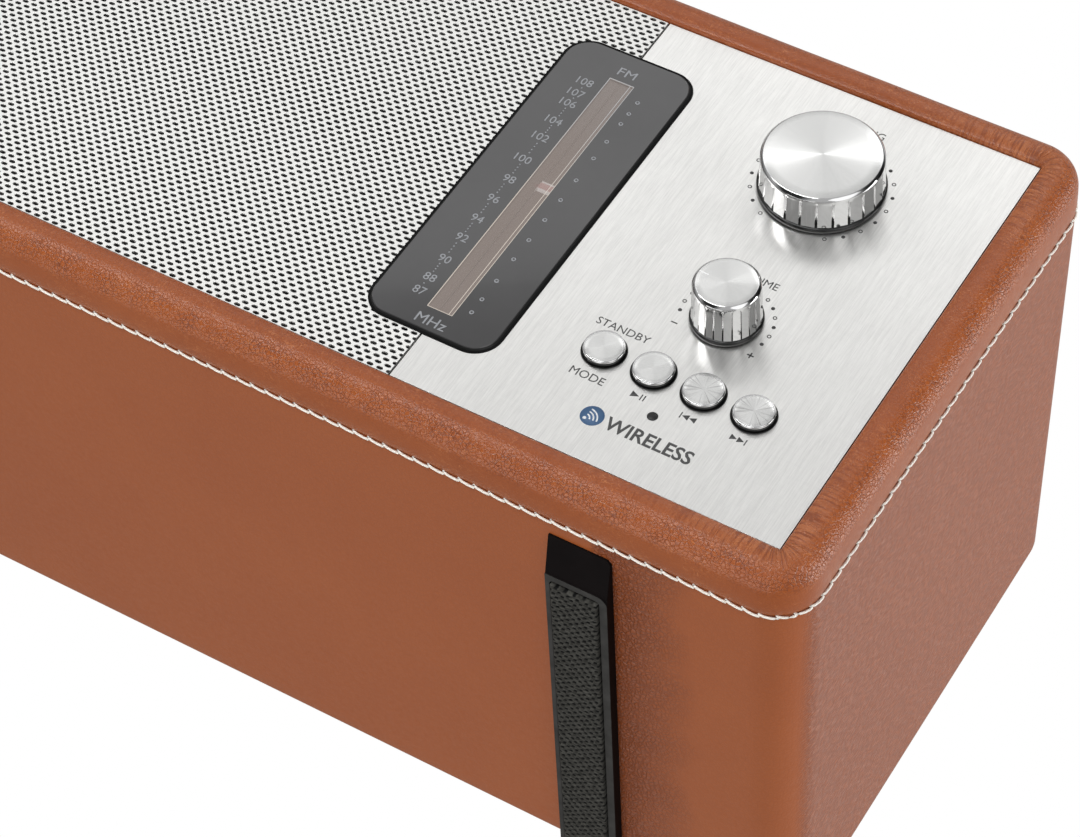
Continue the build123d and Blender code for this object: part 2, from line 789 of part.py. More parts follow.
for name, x, body, bore, depth in (
    ("aux_jack", aux_x, 4.0, aux_radius, 14.0),
    ("dc_jack", dc_x, 5.5, dc_radius, 10.0),
):
    with BuildPart() as jack:
        with BuildSketch(rear_outside.offset(1.5)):
            with Locations(rear_spot(x, socket_z)):
                RegularPolygon(body + 2, 6)
        extrude(amount=-1.5)
        with BuildSketch(rear_outside):
            with Locations(rear_spot(x, socket_z)):
                Circle(body)
        extrude(amount=-(rear_plate + 3))
        with BuildSketch(rear_outside.offset(-(rear_plate + 3))):
            with Locations(rear_spot(x, socket_z)):
                Rectangle(2 * body + 3, 2 * body + 3)
        extrude(amount=-10)
        with BuildSketch(rear_outside.offset(1.5)):
            with Locations(rear_spot(x, socket_z)):
                Circle(bore)
        extrude(amount=-depth, mode=Mode.SUBTRACT)
        if name == "dc_jack":
            with BuildSketch(rear_outside.offset(1.5 - depth)):
                with Locations(rear_spot(x, socket_z)):
                    Circle(1)
            extrude(amount=depth - 2)
    save(jack.part, name)

with BuildPart() as rear_screws:
    with BuildSketch(rear_outside.offset(1.4)):
        with Locations(*[rear_spot(x, z) for x, z in rear_screw_spots]):
            Circle(3.2)
    extrude(amount=-1.4)
    with BuildSketch(rear_outside.offset(1.4)):
        with Locations(*[rear_spot(x, z) for x, z in rear_screw_spots]):
            Rectangle(4, 0.8)
            Rectangle(0.8, 4)
    extrude(amount=-0.8, mode=Mode.SUBTRACT)
    with BuildSketch(rear_outside):
        with Locations(*[rear_spot(x, z) for x, z in rear_screw_spots]):
            Circle(1.5)
    extrude(amount=-rear_plate)
save(rear_screws.part, "rear_screws")

# ---------------------------------------------------------------- electronics
board_x, board_z, board_width, board_height = 118.0, 100.0, 84.0, 84.0
board_y = rear_inside_y - 36
with BuildPart() as main_board:
    with Locations((board_x, board_y, board_z)):
        Box(board_width, 1.6, board_height)
    for dx in (-37, 37):
        for dz in (-37, 37):
            with Locations((board_x + dx, board_y + 0.8, board_z + dz)):
                Box(5, rear_inside_y - board_y - 0.8, 5, align=(Align.CENTER, Align.MIN, Align.CENTER))
    with Locations((board_x - 20, board_y - 0.8, board_z + 22)):
        Box(34, 9, 26, align=(Align.CENTER, Align.MAX, Align.CENTER))
    with Locations((board_x + 22, board_y - 0.8, board_z - 20)):
        Box(30, 16, 22, align=(Align.CENTER, Align.MAX, Align.CENTER))
    for dx in (-28, -15, -2):
        with Locations((board_x + dx, board_y - 0.8, board_z - 20)):
            Cylinder(5, 16, rotation=(90, 0, 0), align=(Align.CENTER, Align.CENTER, Align.MIN))
save(main_board.part, "main_board")

# ---------------------------------------------------------------- aerial
aerial_y = back_y + aerial_out
clevis = 4.5
with BuildPart() as antenna_base:
    with BuildSketch(rear_outside.offset(rear_recess)):
        with Locations(rear_spot(aerial_x, aerial_z)):
            Circle(9)
    extrude(amount=-rear_recess)
    with BuildSketch(rear_outside):
        with Locations(rear_spot(aerial_x, aerial_z)):
            Circle(4)
    extrude(amount=-(rear_plate + 2))
    with BuildSketch(rear_outside.offset(rear_recess)):
        with Locations(rear_spot(aerial_x, aerial_z)):
            Circle(2.5 + running)
    extrude(amount=-8, mode=Mode.SUBTRACT)
save(antenna_base.part, "antenna_base")

with BuildPart() as antenna_swivel:
    with BuildSketch(rear_outside.offset(rear_recess + 0.3)):
        with Locations(rear_spot(aerial_x, aerial_z)):
            Circle(6)
    extrude(amount=1)
    with BuildSketch(rear_outside.offset(rear_recess + 0.3)):
        with Locations(rear_spot(aerial_x, aerial_z)):
            Circle(2.5)
    extrude(amount=-7)
    for ear in (-1, 1):
        with Locations((aerial_x, back_y + 0.3, aerial_z + ear * 4.4)):
            Box(2 * clevis - 1, aerial_out - 0.3, 2, align=(Align.CENTER, Align.MIN, Align.CENTER))
        with Locations((aerial_x, aerial_y, aerial_z + ear * 4.4)):
            Cylinder(clevis - 0.5, 2)
    with Locations((aerial_x, aerial_y, aerial_z)):
        Cylinder(1.5, 10.8)
save(antenna_swivel.part, "antenna_swivel")

tube_wall, tube_step = 0.4, 0.5
mast_radius = 3.4
tube_count = 4
mast_end = aerial_x - mast_length
for number in range(1, tube_count + 1):
    outer = mast_radius - tube_step * (number - 1)
    inner = outer - tube_wall
    root_x = aerial_x - 5 if number == 1 else aerial_x - 6 - 2 * number
    end_x = mast_end - 1.5 * (number - 1)
    with BuildPart() as tube:
        with Locations((root_x, aerial_y, aerial_z)):
            Cylinder(
                outer,
                root_x - end_x,
                rotation=(0, -90, 0),
                align=(Align.CENTER, Align.CENTER, Align.MIN),
            )
        if number < tube_count:
            with Locations((aerial_x - 7, aerial_y, aerial_z)):
                Cylinder(
                    inner,
                    mast_length + 40,
                    rotation=(0, -90, 0),
                    align=(Align.CENTER, Align.CENTER, Align.MIN),
                    mode=Mode.SUBTRACT,
                )
        else:
            with Locations((end_x, aerial_y, aerial_z)):
                Cylinder(mast_radius, 5, rotation=(0, -90, 0), align=(Align.CENTER, Align.CENTER, Align.MIN))
        if number == 1:
            with Locations((aerial_x, aerial_y, aerial_z)):
                Cylinder(4, 6.2)
            with Locations((aerial_x - 4, aerial_y, aerial_z)):
                Box(4, 4, 4)
            with Locations((aerial_x, aerial_y, aerial_z)):
                Cylinder(1.5 + running, 20, mode=Mode.SUBTRACT)
    save(tube.part, f"antenna_section_{number}")

# The folded aerial lies on one short arm, so it can be lifted up or swung out.
rest_plate = 1.8
with BuildPart() as antenna_rest:
    with Locations((clip_x, rear_face_y, aerial_z)):
        Box(8, rear_recess + 1.5, 11, align=(Align.CENTER, Align.MIN, Align.CENTER))
    with Locations((clip_x, rear_face_y, aerial_z - mast_radius - 0.3)):
        Box(8, rear_recess + aerial_out + 2, rest_plate, align=(Align.CENTER, Align.MIN, Align.MAX))
save(antenna_rest.part, "antenna_rest")

# ---------------------------------------------------------------- feet
rail_front = foot_front + ramp_length
pocket_front, pocket_back = rail_front + end_rim, foot_back - end_rim
pocket_width = foot_width - inner_rim - outer_rim
pocket_length = pocket_back - pocket_front
for side, away in (("left", -1), ("right", 1)):
    x = away * foot_centre
    pocket_spot = (away * (inner_rim - outer_rim) / 2, (pocket_front + pocket_back) / 2)
    side_plane = Plane(origin=(x - foot_width / 2, front_y, ground_gap), x_dir=(0, 1, 0), z_dir=(1, 0, 0))
    floor_plane = Plane(origin=(x, front_y, pad_proud), x_dir=(1, 0, 0), z_dir=(0, 0, 1))
    with BuildPart() as foot:
        with BuildSketch(side_plane):
            with BuildLine():
                Polyline(
                    (foot_front, 0),
                    (foot_back - 10, 0),
                    (foot_back - 10, ridge_step - foot_height),
                    (rail_front, ridge_step - foot_height),
                    (foot_front, -nose_height),
                    close=True,
                )
            make_face()
        extrude(amount=foot_width)
        nose_edges = foot.edges().filter_by(Axis.Z).group_by(Axis.Y)[0].sort_by(Axis.X)
        fillet(nose_edges[-1 if away > 0 else 0], radius=nose_corner)
        with BuildSketch(floor_plane) as rail:
            with Locations((0, (rail_front + foot_back) / 2)):
                Rectangle(foot_width, foot_back - rail_front)
            outer_corners = rail.vertices().group_by(Axis.X)[-1 if away > 0 else 0]
            fillet(outer_corners, radius=rail_corner)
        extrude(amount=foot_height)
        with BuildSketch(floor_plane):
            with Locations(pocket_spot):
                RectangleRounded(pocket_width, pocket_length, 1.4)
        extrude(amount=pocket_depth, mode=Mode.SUBTRACT)
        for y in foot_screw_y:
            with Locations((x, y, pad_proud + pocket_depth)):
                Cylinder(1.5, 12, mode=Mode.SUBTRACT)
                Cylinder(3, 2.2, mode=Mode.SUBTRACT)
    save(foot.part, f"{side}_foot")

    with BuildPart() as pad:
        with BuildSketch(floor_plane.offset(-pad_proud)):
            with Locations(pocket_spot):
                RectangleRounded(pocket_width - 2 * pad_gap, pocket_length - 2 * pad_end_gap, 1.0)
        extrude(amount=pad_proud + pocket_depth)
    save(pad.part, f"{side}_foot_pad")

with BuildPart() as foot_screws:
    for x, y in foot_screw_spots:
        with Locations((x, y, pad_proud + pocket_depth)):
            Cylinder(3, 1.1, align=(Align.CENTER, Align.CENTER, Align.MIN))
            Cylinder(1.5, 9.5, align=(Align.CENTER, Align.CENTER, Align.MIN))
save(foot_screws.part, "foot_screws")

# ---------------------------------------------------------------- handle
pivot_z = body_top + pivot_height
pivot_y = front_y + handle_depth
grip_y = pivot_y + arm_reach
with BuildPart() as handle_posts:
    for x, y in post_spots:
        with Locations((x, y, body_top)):
            Cylinder(11, 2, align=(Align.CENTER, Align.CENTER, Align.MIN))
        with Locations((x, y, body_top)):
            Cylinder(pin_radius, 13, align=(Align.CENTER, Align.CENTER, Align.MAX))
        with Locations((x, y, body_top + 1)):
            Box(6, 11, pivot_height - 1, align=(Align.CENTER, Align.CENTER, Align.MIN))
        with Locations((x, y, pivot_z)):
            Cylinder(5.5, 6, rotation=(0, 90, 0))
            Cylinder(pin_radius + running, 20, rotation=(0, 90, 0), mode=Mode.SUBTRACT)
save(handle_posts.part, "handle_posts")

arm_x = handle_x + 3 + gap + 1.5
with BuildPart() as handle_bail:
    for side in (-1, 1):
        arm_plane = Plane(origin=(side * arm_x, pivot_y, pivot_z), x_dir=(0, 1, 0), z_dir=(1, 0, 0))
        with BuildSketch(arm_plane.offset(-1.5)):
            with Locations((arm_reach / 2, 0)):
                SlotCenterToCenter(arm_reach, 10)
        extrude(amount=3)
        with Locations((side * (arm_x - 5), pivot_y, pivot_z)):
            Cylinder(pin_radius, 10, rotation=(0, 90, 0))
        with Locations((side * (handle_x - 3 - gap - 0.6), pivot_y, pivot_z)):
            Cylinder(4, 1.2, rotation=(0, 90, 0))
    with Locations((0, grip_y, pivot_z)):
        Cylinder(3, 2 * arm_x, rotation=(0, 90, 0))
save(handle_bail.part, "handle_bail")

grip_length = 2 * arm_x - 20
with BuildPart() as handle_grip:
    with BuildSketch(Plane(origin=(-grip_length / 2, grip_y, pivot_z), x_dir=(0, 1, 0), z_dir=(1, 0, 0))):
        Ellipse(11.5, 6.8)
        Circle(3, mode=Mode.SUBTRACT)
    extrude(amount=grip_length)
save(handle_grip.part, "handle_grip")
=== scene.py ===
"""The looks of the leather covered portable radio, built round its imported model.

Places on the front are given as (u, v, w) in millimetres: u to the right and v up from the lower left
corner of the control panel, and w out of its face. Everything in Blender is in metres.
"""

import json
from math import cos, pi, radians, sin, sqrt

import bpy
from mathutils import Matrix, Vector, noise


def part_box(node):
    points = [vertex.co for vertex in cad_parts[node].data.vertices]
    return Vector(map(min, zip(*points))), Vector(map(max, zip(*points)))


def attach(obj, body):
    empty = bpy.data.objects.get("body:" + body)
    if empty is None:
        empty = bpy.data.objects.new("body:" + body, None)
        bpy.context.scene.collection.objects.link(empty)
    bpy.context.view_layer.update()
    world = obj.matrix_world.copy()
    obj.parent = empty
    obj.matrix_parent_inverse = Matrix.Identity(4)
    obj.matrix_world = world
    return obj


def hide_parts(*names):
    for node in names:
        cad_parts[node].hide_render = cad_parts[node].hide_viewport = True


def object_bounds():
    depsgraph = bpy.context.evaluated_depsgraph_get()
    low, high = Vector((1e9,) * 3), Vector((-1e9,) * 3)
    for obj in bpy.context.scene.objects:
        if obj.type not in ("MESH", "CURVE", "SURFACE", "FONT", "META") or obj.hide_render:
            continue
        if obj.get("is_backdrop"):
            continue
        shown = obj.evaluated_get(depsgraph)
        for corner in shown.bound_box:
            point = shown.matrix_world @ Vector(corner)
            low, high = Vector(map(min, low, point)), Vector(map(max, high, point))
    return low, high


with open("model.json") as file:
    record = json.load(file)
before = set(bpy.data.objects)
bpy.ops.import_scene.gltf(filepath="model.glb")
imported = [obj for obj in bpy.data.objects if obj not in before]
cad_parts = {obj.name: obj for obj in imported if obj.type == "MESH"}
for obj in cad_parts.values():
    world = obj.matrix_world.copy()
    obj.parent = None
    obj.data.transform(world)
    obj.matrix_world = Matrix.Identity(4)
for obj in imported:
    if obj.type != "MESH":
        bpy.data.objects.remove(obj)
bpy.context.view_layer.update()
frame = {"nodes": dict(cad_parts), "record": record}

nodes = frame["nodes"]
MM = 0.001

# ---------------------------------------------------------------- places, from the frame
panel_low, panel_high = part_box("control_panel")
wrap_low, wrap_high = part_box("leather_wrap")
rim_low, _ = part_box("front_bolster")
panel_gap = 0.3
corner = Vector((panel_low.x - panel_gap * MM, panel_low.y, panel_low.z - panel_gap * MM))
body_centre = Vector((0, corner.y, (wrap_low.z + wrap_high.z) / 2))
half_width = (wrap_high.x - wrap_low.x) / 2 / MM
half_height = (wrap_high.z - wrap_low.z) / 2 / MM
panel_width = (panel_high.x - panel_low.x) / MM + 2 * panel_gap
panel_height = (panel_high.z - panel_low.z) / MM + 2 * panel_gap
seam_depth = (wrap_low.y - corner.y) / MM
body_depth = (wrap_high.y - corner.y) / MM
rim_proud = (corner.y - rim_low.y) / MM
rim_width = half_height - panel_height / 2
corner_radius = 13.7
edge_radius = 7.3
grille_left = panel_width + 2 * rim_width - 2 * half_width

dial_u, dial_v = -0.2, 75.0
dial_width, dial_height, dial_radius = 41.0, 117.0, 8.25
window_u, window_v, window_width, window_height = 0.42, 73.55, 7.9, 97.1
tuning_u, tuning_v = 67.7, 115.05
volume_u, volume_v = 68.25, 60.45
buttons_u, buttons_v = (45.5, 60.5, 75.5, 90.5), 35.0
pointer_v = 78.3
face_up = Matrix(((1, 0, 0), (0, 0, -1), (0, 1, 0))).to_4x4()  # turns u, v, w into the frame's axes


def spot(u, v, w):
    """A place on the front, in metres."""
    return corner + MM * Vector((u, -w, v))


def body_spot(across, up, w):
    """A place measured from the middle of the front, in metres."""
    return body_centre + MM * Vector((across, -w, up))


def face_frame(u, v):
    """The frame of a control: its origin on the panel face, its z out of the panel."""
    return Matrix.Translation(spot(u, v, 0)) @ face_up


# ---------------------------------------------------------------- shader helpers
def scaled(color, by):
    """A colour made lighter or darker."""
    return tuple(part * by for part in color)


class Nodes:
    """Short calls that add and join the nodes of one tree."""

    def __init__(self, tree):
        self.tree = tree

    def put(self, node, **inputs):
        """Sets or links a node's inputs, whose names have _ for a space, or are i and a number."""
        for key, value in inputs.items():
            numbered = key[0] == "i" and key[1:].isdigit()
            socket = node.inputs[int(key[1:]) if numbered else key.replace("_", " ")]
            if isinstance(value, bpy.types.NodeSocket):
                self.tree.links.new(value, socket)
            elif isinstance(value, tuple) and len(value) == 3 and len(socket.default_value) == 4:
                socket.default_value = (*value, 1.0)
            else:
                socket.default_value = value

    def add(self, kind, settings=None, **inputs):
        """A new node, with its settings and inputs."""
        node = self.tree.nodes.new("ShaderNode" + kind)
        for key, value in (settings or {}).items():
            setattr(node, key, value)
        self.put(node, **inputs)
        return node

    def part(self, vector, axis):
        """One of a vector's three parts."""
        return self.add("SeparateXYZ", Vector=vector).outputs[axis]

    def coords(self, scale=(1.0, 1.0, 1.0), source="Object"):
        """Coordinates of the piece, in units of one over scale."""
        start = self.add("TexCoord").outputs[source]
        return self.add("Mapping", Vector=start, Scale=scale).outputs["Vector"]

    def noise(self, where, scale=1.0, detail=2.0, roughness=0.5, distortion=0.0):
        node = self.add("TexNoise", Vector=where, Scale=scale, Detail=detail, Roughness=roughness)
        node.inputs["Distortion"].default_value = distortion
        return node.outputs["Fac"]

    def math(self, operation, first, second=0.5, third=0.5):
        return self.add("Math", {"operation": operation}, i0=first, i1=second, i2=third).outputs[0]

    def times(self, first, second):
        return self.math("MULTIPLY", first, second)

    def remap(self, value, low, high, new_low=0.0, new_high=1.0):
        """Value from one range to another, held inside it."""
        node = self.add("MapRange", Value=value)
        self.put(node, From_Min=low, From_Max=high, To_Min=new_low, To_Max=new_high)
        return node.outputs["Result"]

    def mix(self, share, first, second):
        """One colour between two."""
        return self.add("MixRGB", Fac=share, Color1=first, Color2=second).outputs["Color"]

    def bump(self, height, distance, strength=1.0, below=None):
        """Relief, its height in metres, over an earlier one."""
        node = self.add("Bump", Height=height, Distance=distance, Strength=strength)
        if below is not None:
            self.put(node, Normal=below)
        return node.outputs["Normal"]

    def circling(self, axis):
        """The direction round an axis, which brushed and turned metal shine across."""
        return self.add("Tangent", {"direction_type": "RADIAL", "axis": axis}).outputs[0]

    def soft_edges(self, radius):
        """A normal that rounds sharp edges a little."""
        return self.add("Bevel", {"samples": 4}, Radius=radius).outputs["Normal"]


class Paint(Nodes):
    """A material with one Principled shader."""

    def __init__(self, name, color, roughness, metallic=0.0, **sockets):
        self.made = bpy.data.materials.new(name)
        self.made.use_nodes = True
        super().__init__(self.made.node_tree)
        self.shader = self.tree.nodes["Principled BSDF"]
        self.put(self.shader, Base_Color=color, Roughness=roughness, Metallic=metallic, **sockets)
        self.made.diffuse_color = (*color[:3], 1.0)

    def finish(self, **inputs):
        self.put(self.shader, **inputs)
        return self.made


# ---------------------------------------------------------------- leather, cloth and thread
class Leather(Paint):
    """Full grain leather: creases between pebbles, fine pores, and slow changes of shade."""

    def __init__(self, name, tan, deep, specular, roughness):
        super().__init__(name, tan, roughness, Specular_IOR_Level=specular)
        self.tan, self.deep, self.roughness = tan, deep, roughness
        self.here = self.coords()
        warp = self.add("TexNoise", Vector=self.here, Scale=420.0, Detail=2.0).outputs["Color"]
        bend = self.add("VectorMath", {"operation": "MULTIPLY_ADD"}, i0=warp, i1=(0.0011,) * 3, i2=self.here)
        self.bent = bend.outputs[0]

    def creases(self, size, width=0.30, stretch=(1.0, 1.0, 1.0)):
        """0 in the creases and 1 on the pebbles, whose size is in millimetres."""
        scale = tuple(1 / (size * k * MM) for k in stretch)
        where = self.add("Mapping", Vector=self.bent, Scale=scale).outputs["Vector"]
        cells = self.add("TexVoronoi", {"feature": "DISTANCE_TO_EDGE"}, Vector=where, Scale=1.0)
        return self.remap(cells.outputs["Distance"], 0.0, width)

    def hairs(self, scale, width):
        """Thin wandering lines, 1 on a line."""
        where = self.add("Mapping", Vector=self.bent, Scale=scale).outputs["Vector"]
        waves = self.noise(where, detail=2.0, distortion=0.8)
        return self.remap(self.math("ABSOLUTE", self.math("SUBTRACT", waves, 0.5)), 0.0, width, 1.0, 0.0)

    def dye(self, spread=0.35):
        """The tan with slow and small changes of depth."""
        broad = self.noise(self.here, scale=14.0, detail=3.0)
        patches = self.noise(self.here, scale=110.0, detail=4.0, roughness=0.65)
        shade = self.mix(self.remap(broad, 0.35, 0.65, 0.0, spread), self.tan, self.deep)
        return self.mix(self.remap(patches, 0.35, 0.75, 0.0, spread * 0.6), shade, self.deep)

    def cure(self, shade, height, relief, below=None):
        """The finished material, with pores over the relief."""
        pores = self.noise(self.here, scale=3200.0, detail=3.0, roughness=0.6)
        normal = self.bump(height, relief * MM, 1.0, below)
        normal = self.bump(pores, 0.014 * MM, 0.8, normal)
        gloss = self.noise(self.here, scale=500.0, detail=2.0)
        gloss = self.remap(gloss, 0.3, 0.7, self.roughness - 0.05, self.roughness + 0.06)
        return self.finish(Base_Color=shade, Roughness=gloss, Normal=normal)


def rim_finish(name, tan, deep, crease_shade, light):
    """Stretched leather, creased where it bends most, with light scratches, folds inside the corners, and
    painted shade and highlight.
    """
    paint = Leather(name, tan, deep, 0.5, 0.33)
    along = paint.part(paint.coords(source="UV"), "Y")
    rising = paint.remap(along, 0.0085, 0.0125, 0.18, 1.0)
    crest = paint.times(rising, paint.remap(along, 0.0165, 0.0195, 1.0, 0.35))
    crease = paint.creases(1.2, 0.17)
    second = paint.creases(0.62, 0.30)
    grain = paint.times(paint.math("MULTIPLY_ADD", second, 0.4, crease), crest)
    broken = paint.remap(paint.noise(paint.here, scale=150.0, detail=3.0), 0.38, 0.58, 0.30, 1.0)
    steep, flat = paint.hairs((420.0, 700.0, 300.0), 0.010), paint.hairs((260.0, 300.0, 620.0), 0.009)
    scratched = paint.remap(paint.noise(paint.here, scale=60.0), 0.35, 0.55)
    hairs = paint.times(paint.math("MAXIMUM", steep, flat), scratched)
    folds = paint.noise(paint.coords((1150.0, 110.0, 1.0), "UV"), detail=3.0, roughness=0.6, distortion=0.5)
    folds = paint.remap(folds, 0.40, 0.60)
    pucker = paint.add("Attribute", {"attribute_name": "pucker"}).outputs["Fac"]
    pucker = paint.times(pucker, paint.remap(along, 0.0155, 0.0205, 0.06, 1.0))
    folded = paint.times(folds, pucker)
    shade = paint.dye()
    shade = paint.mix(paint.remap(along, 0.0165, 0.0215, 0.0, 0.70), shade, deep)
    # Painted shade: the creases darkened, most along the crest.
    dark = paint.times(paint.remap(crease, 0.0, 0.8, crease_shade, 0.0), paint.times(broken, crest))
    shade = paint.mix(dark, shade, (0.11, 0.020, 0.005))
    shade = paint.mix(paint.times(hairs, 0.45), shade, light)
    # Painted highlight: the folds lightened with the same colour as the scratches.
    shade = paint.mix(paint.times(folded, 0.25), shade, light)
    # Painted shade in the hollows between the folds.
    between = paint.times(paint.remap(folds, 0.0, 0.4, 0.32, 0.0), pucker)
    shade = paint.mix(between, shade, (0.09, 0.016, 0.004))
    normal = paint.bump(folded, 0.14 * MM, 0.7)
    return paint.cure(shade, grain, 0.085, normal)


def cover_finish(name, tan, deep):
    """Flat leather: nearly smooth, strongly pebbled beside the right foot under its painted shadow, with
    upright grain on the ends, and painted shade in the creases.
    """
    paint = Leather(name, tan, deep, 0.5, 0.40)
    apart = paint.add("SeparateXYZ", Vector=paint.here)
    across = apart.outputs["X"]
    wander = paint.math("MULTIPLY_ADD", paint.noise(paint.here, scale=60.0, detail=2.0), 0.014, across)
    pebbles_and_foot_shadow = paint.times(paint.remap(wander, 0.1355, 0.1405), paint.remap(wander, 0.148, 0.168, 1.0, 0.0))
    pebbles_and_foot_shadow = paint.times(pebbles_and_foot_shadow, paint.remap(apart.outputs["Z"], 0.02, 0.04, 1.0, 0.0))
    ends = paint.remap(paint.math("ABSOLUTE", across), 0.1875, 0.1895)
    pebbles = paint.creases(1.25, 0.20, (1.0, 1.2, 1.0))
    upright = paint.creases(0.95, 0.34, (1.0, 1.0, 3.6))
    strength = paint.math("MAXIMUM", pebbles_and_foot_shadow, 0.10)
    grain = paint.mix(ends, pebbles, upright)
    strength = paint.math("MAXIMUM", strength, paint.times(ends, 0.62))
    shade = paint.dye(0.22)
    # Painted shade: the creases darkened where the grain is strong.
    dark = paint.times(paint.math("SUBTRACT", 1.0, grain), paint.times(strength, 0.75))
    shade = paint.mix(dark, shade, (0.09, 0.016, 0.004))
    # Painted shadow of the right foot on the leather beside it.
    shade = paint.mix(paint.times(pebbles_and_foot_shadow, 0.70), shade, (0.215, 0.045, 0.006))
    height = paint.times(grain, strength)
    return paint.cure(shade, height, 0.22)


def thread():
    """Waxed white thread of three twisted plies, whose twist follows the stitch."""
    paint = Paint("white_thread", (0.92, 0.89, 0.82), 0.6, Sheen_Weight=0.3)
    along = paint.coords((1100.0, 3.0, 1.0), "UV")
    plies = paint.add("TexWave", {"bands_direction": "DIAGONAL"}, Vector=along, Scale=0.35, Distortion=0.4)
    fuzz = paint.noise(paint.coords(), scale=9000.0, detail=2.0)
    # Painted shade: darker in the grooves between the plies.
    shade = paint.mix(plies.outputs["Fac"], (0.80, 0.75, 0.66), (0.95, 0.93, 0.88))
    height = paint.math("MULTIPLY_ADD", fuzz, 0.3, plies.outputs["Fac"])
    return paint.finish(Base_Color=shade, Normal=paint.bump(height, 0.06 * MM))


def woven(name, color, pitch, relief):
    """A plain weave with threads a pitch apart, in millimetres."""
    paint = Paint(name, color, 0.85, Sheen_Weight=0.2)
    here = paint.coords((1 / (pitch * MM),) * 3)
    across = paint.add("TexWave", {"bands_direction": "X"}, Vector=here, Scale=0.5).outputs["Fac"]
    up = paint.add("TexWave", {"bands_direction": "Z"}, Vector=here, Scale=0.5).outputs["Fac"]
    weave = paint.times(across, up)
    # Painted shade: darker in the gaps of the weave.
    shade = paint.mix(weave, scaled(color, 0.4), color)
    return paint.finish(Base_Color=shade, Normal=paint.bump(weave, relief * MM))


# ---------------------------------------------------------------- metals
def brushed(name, color, roughness, along="z", contrast=0.10, metallic=1.0):
    """Brushed metal, its lines upright or across."""
    paint = Paint(name, color, roughness, metallic, Anisotropic=0.6)
    scale = (2700.0, 2700.0, 120.0) if along == "z" else (120.0, 2700.0, 2700.0)
    lines = paint.noise(paint.coords(scale), detail=3.0, roughness=0.75)
    coarse = paint.noise(paint.coords(tuple(s * 0.3 for s in scale)), detail=2.0, roughness=0.6)
    cross = paint.noise(paint.coords(tuple(reversed(scale))), detail=1.0)
    cloud = paint.noise(paint.coords(), scale=25.0)
    both = paint.math("ADD", paint.times(lines, 0.93), paint.times(coarse, 0.07))
    both = paint.math("MULTIPLY_ADD", cross, 0.08, both)
    dark = scaled(color, 1 - 2.2 * contrast)
    shade = paint.mix(paint.remap(both, 0.36, 0.70), dark, color)
    gloss = paint.remap(cloud, 0.3, 0.7, roughness - 0.03, roughness + 0.04)
    tangent = paint.circling("Z" if along == "z" else "X")
    normal = paint.bump(both, 0.012 * MM, 0.6, paint.soft_edges(0.15 * MM))
    return paint.finish(Base_Color=shade, Roughness=gloss, Normal=normal, Tangent=tangent)


def spun(name, color, roughness, streaks=0.0):
    """A turned face with fine circular lines, and faint radial streaks painted into its colour in place of
    streaks in its reflection.
    """
    paint = Paint(name, color, roughness, 1.0, Anisotropic=0.94, Anisotropic_Rotation=0.25)
    where = paint.coords((1 / MM,) * 3)
    apart = paint.add("SeparateXYZ", Vector=where)
    flat = paint.add("CombineXYZ", X=apart.outputs["X"], Y=apart.outputs["Y"])
    radius = paint.add("VectorMath", {"operation": "LENGTH"}, i0=flat.outputs[0]).outputs["Value"]
    rings = paint.noise(paint.add("CombineXYZ", X=radius).outputs[0], scale=6.0, detail=4.0, roughness=0.8)
    angle = paint.math("ARCTAN2", apart.outputs["Y"], apart.outputs["X"])
    wheel = paint.add("CombineXYZ", X=paint.math("COSINE", angle), Y=paint.math("SINE", angle))
    rays = paint.noise(wheel.outputs[0], scale=5.0, detail=4.0, roughness=0.75)
    dark = scaled(color, 0.90)
    shade = paint.mix(paint.remap(rings, 0.35, 0.65, 0.0, 0.6), color, dark)
    # Painted reflection: faint dark radial streaks by angle.
    shade = paint.mix(paint.remap(rays, 0.35, 0.65, 0.0, 0.5), shade, dark)
    # Painted reflection: stronger dark streaks where they are asked for.
    if streaks:
        shade = paint.mix(paint.remap(rays, 0.52, 0.60), shade, scaled(color, 1 - streaks))
    normal = paint.bump(rings, 0.006 * MM, 0.5)
    return paint.finish(Base_Color=shade, Tangent=paint.circling("Z"), Normal=normal)


def polished(name, color, roughness, edge=0.2):
    """Plated metal with faint wipe marks."""
    paint = Paint(name, color, roughness, 1.0)
    here = paint.coords()
    smear = paint.noise(here, scale=120.0, detail=5.0, roughness=0.7)
    gloss = paint.remap(smear, 0.3, 0.7, roughness * 0.6, roughness * 1.6)
    shade = paint.mix(paint.remap(smear, 0.3, 0.7, 0.0, 0.12), color, (0.55, 0.55, 0.56))
    normal = paint.bump(smear, 0.004 * MM, 0.3, paint.soft_edges(edge * MM))
    return paint.finish(Base_Color=shade, Roughness=gloss, Normal=normal)


# ---------------------------------------------------------------- plastics and the rest
def moulded(name, color, roughness, grain=0.25, relief=0.02, edge=0.25, **sockets):
    """Moulded plastic or rubber with a fine spark grain, in millimetres."""
    paint = Paint(name, color, roughness, **sockets)
    here = paint.coords()
    sparks = paint.noise(here, scale=1 / (grain * MM), detail=2.0)
    broad = paint.noise(here, scale=40.0, detail=4.0, roughness=0.6)
    lighter = tuple(min(1.0, c * 1.5 + 0.004) for c in color[:3])
    shade = paint.mix(paint.remap(broad, 0.35, 0.7, 0.0, 0.5), color[:3], lighter)
    gloss = paint.remap(broad, 0.3, 0.7, roughness * 0.9, min(1.0, roughness * 1.12))
    normal = paint.bump(sparks, relief * MM, 0.5, paint.soft_edges(edge * MM))
    return paint.finish(Base_Color=shade, Roughness=gloss, Normal=normal)


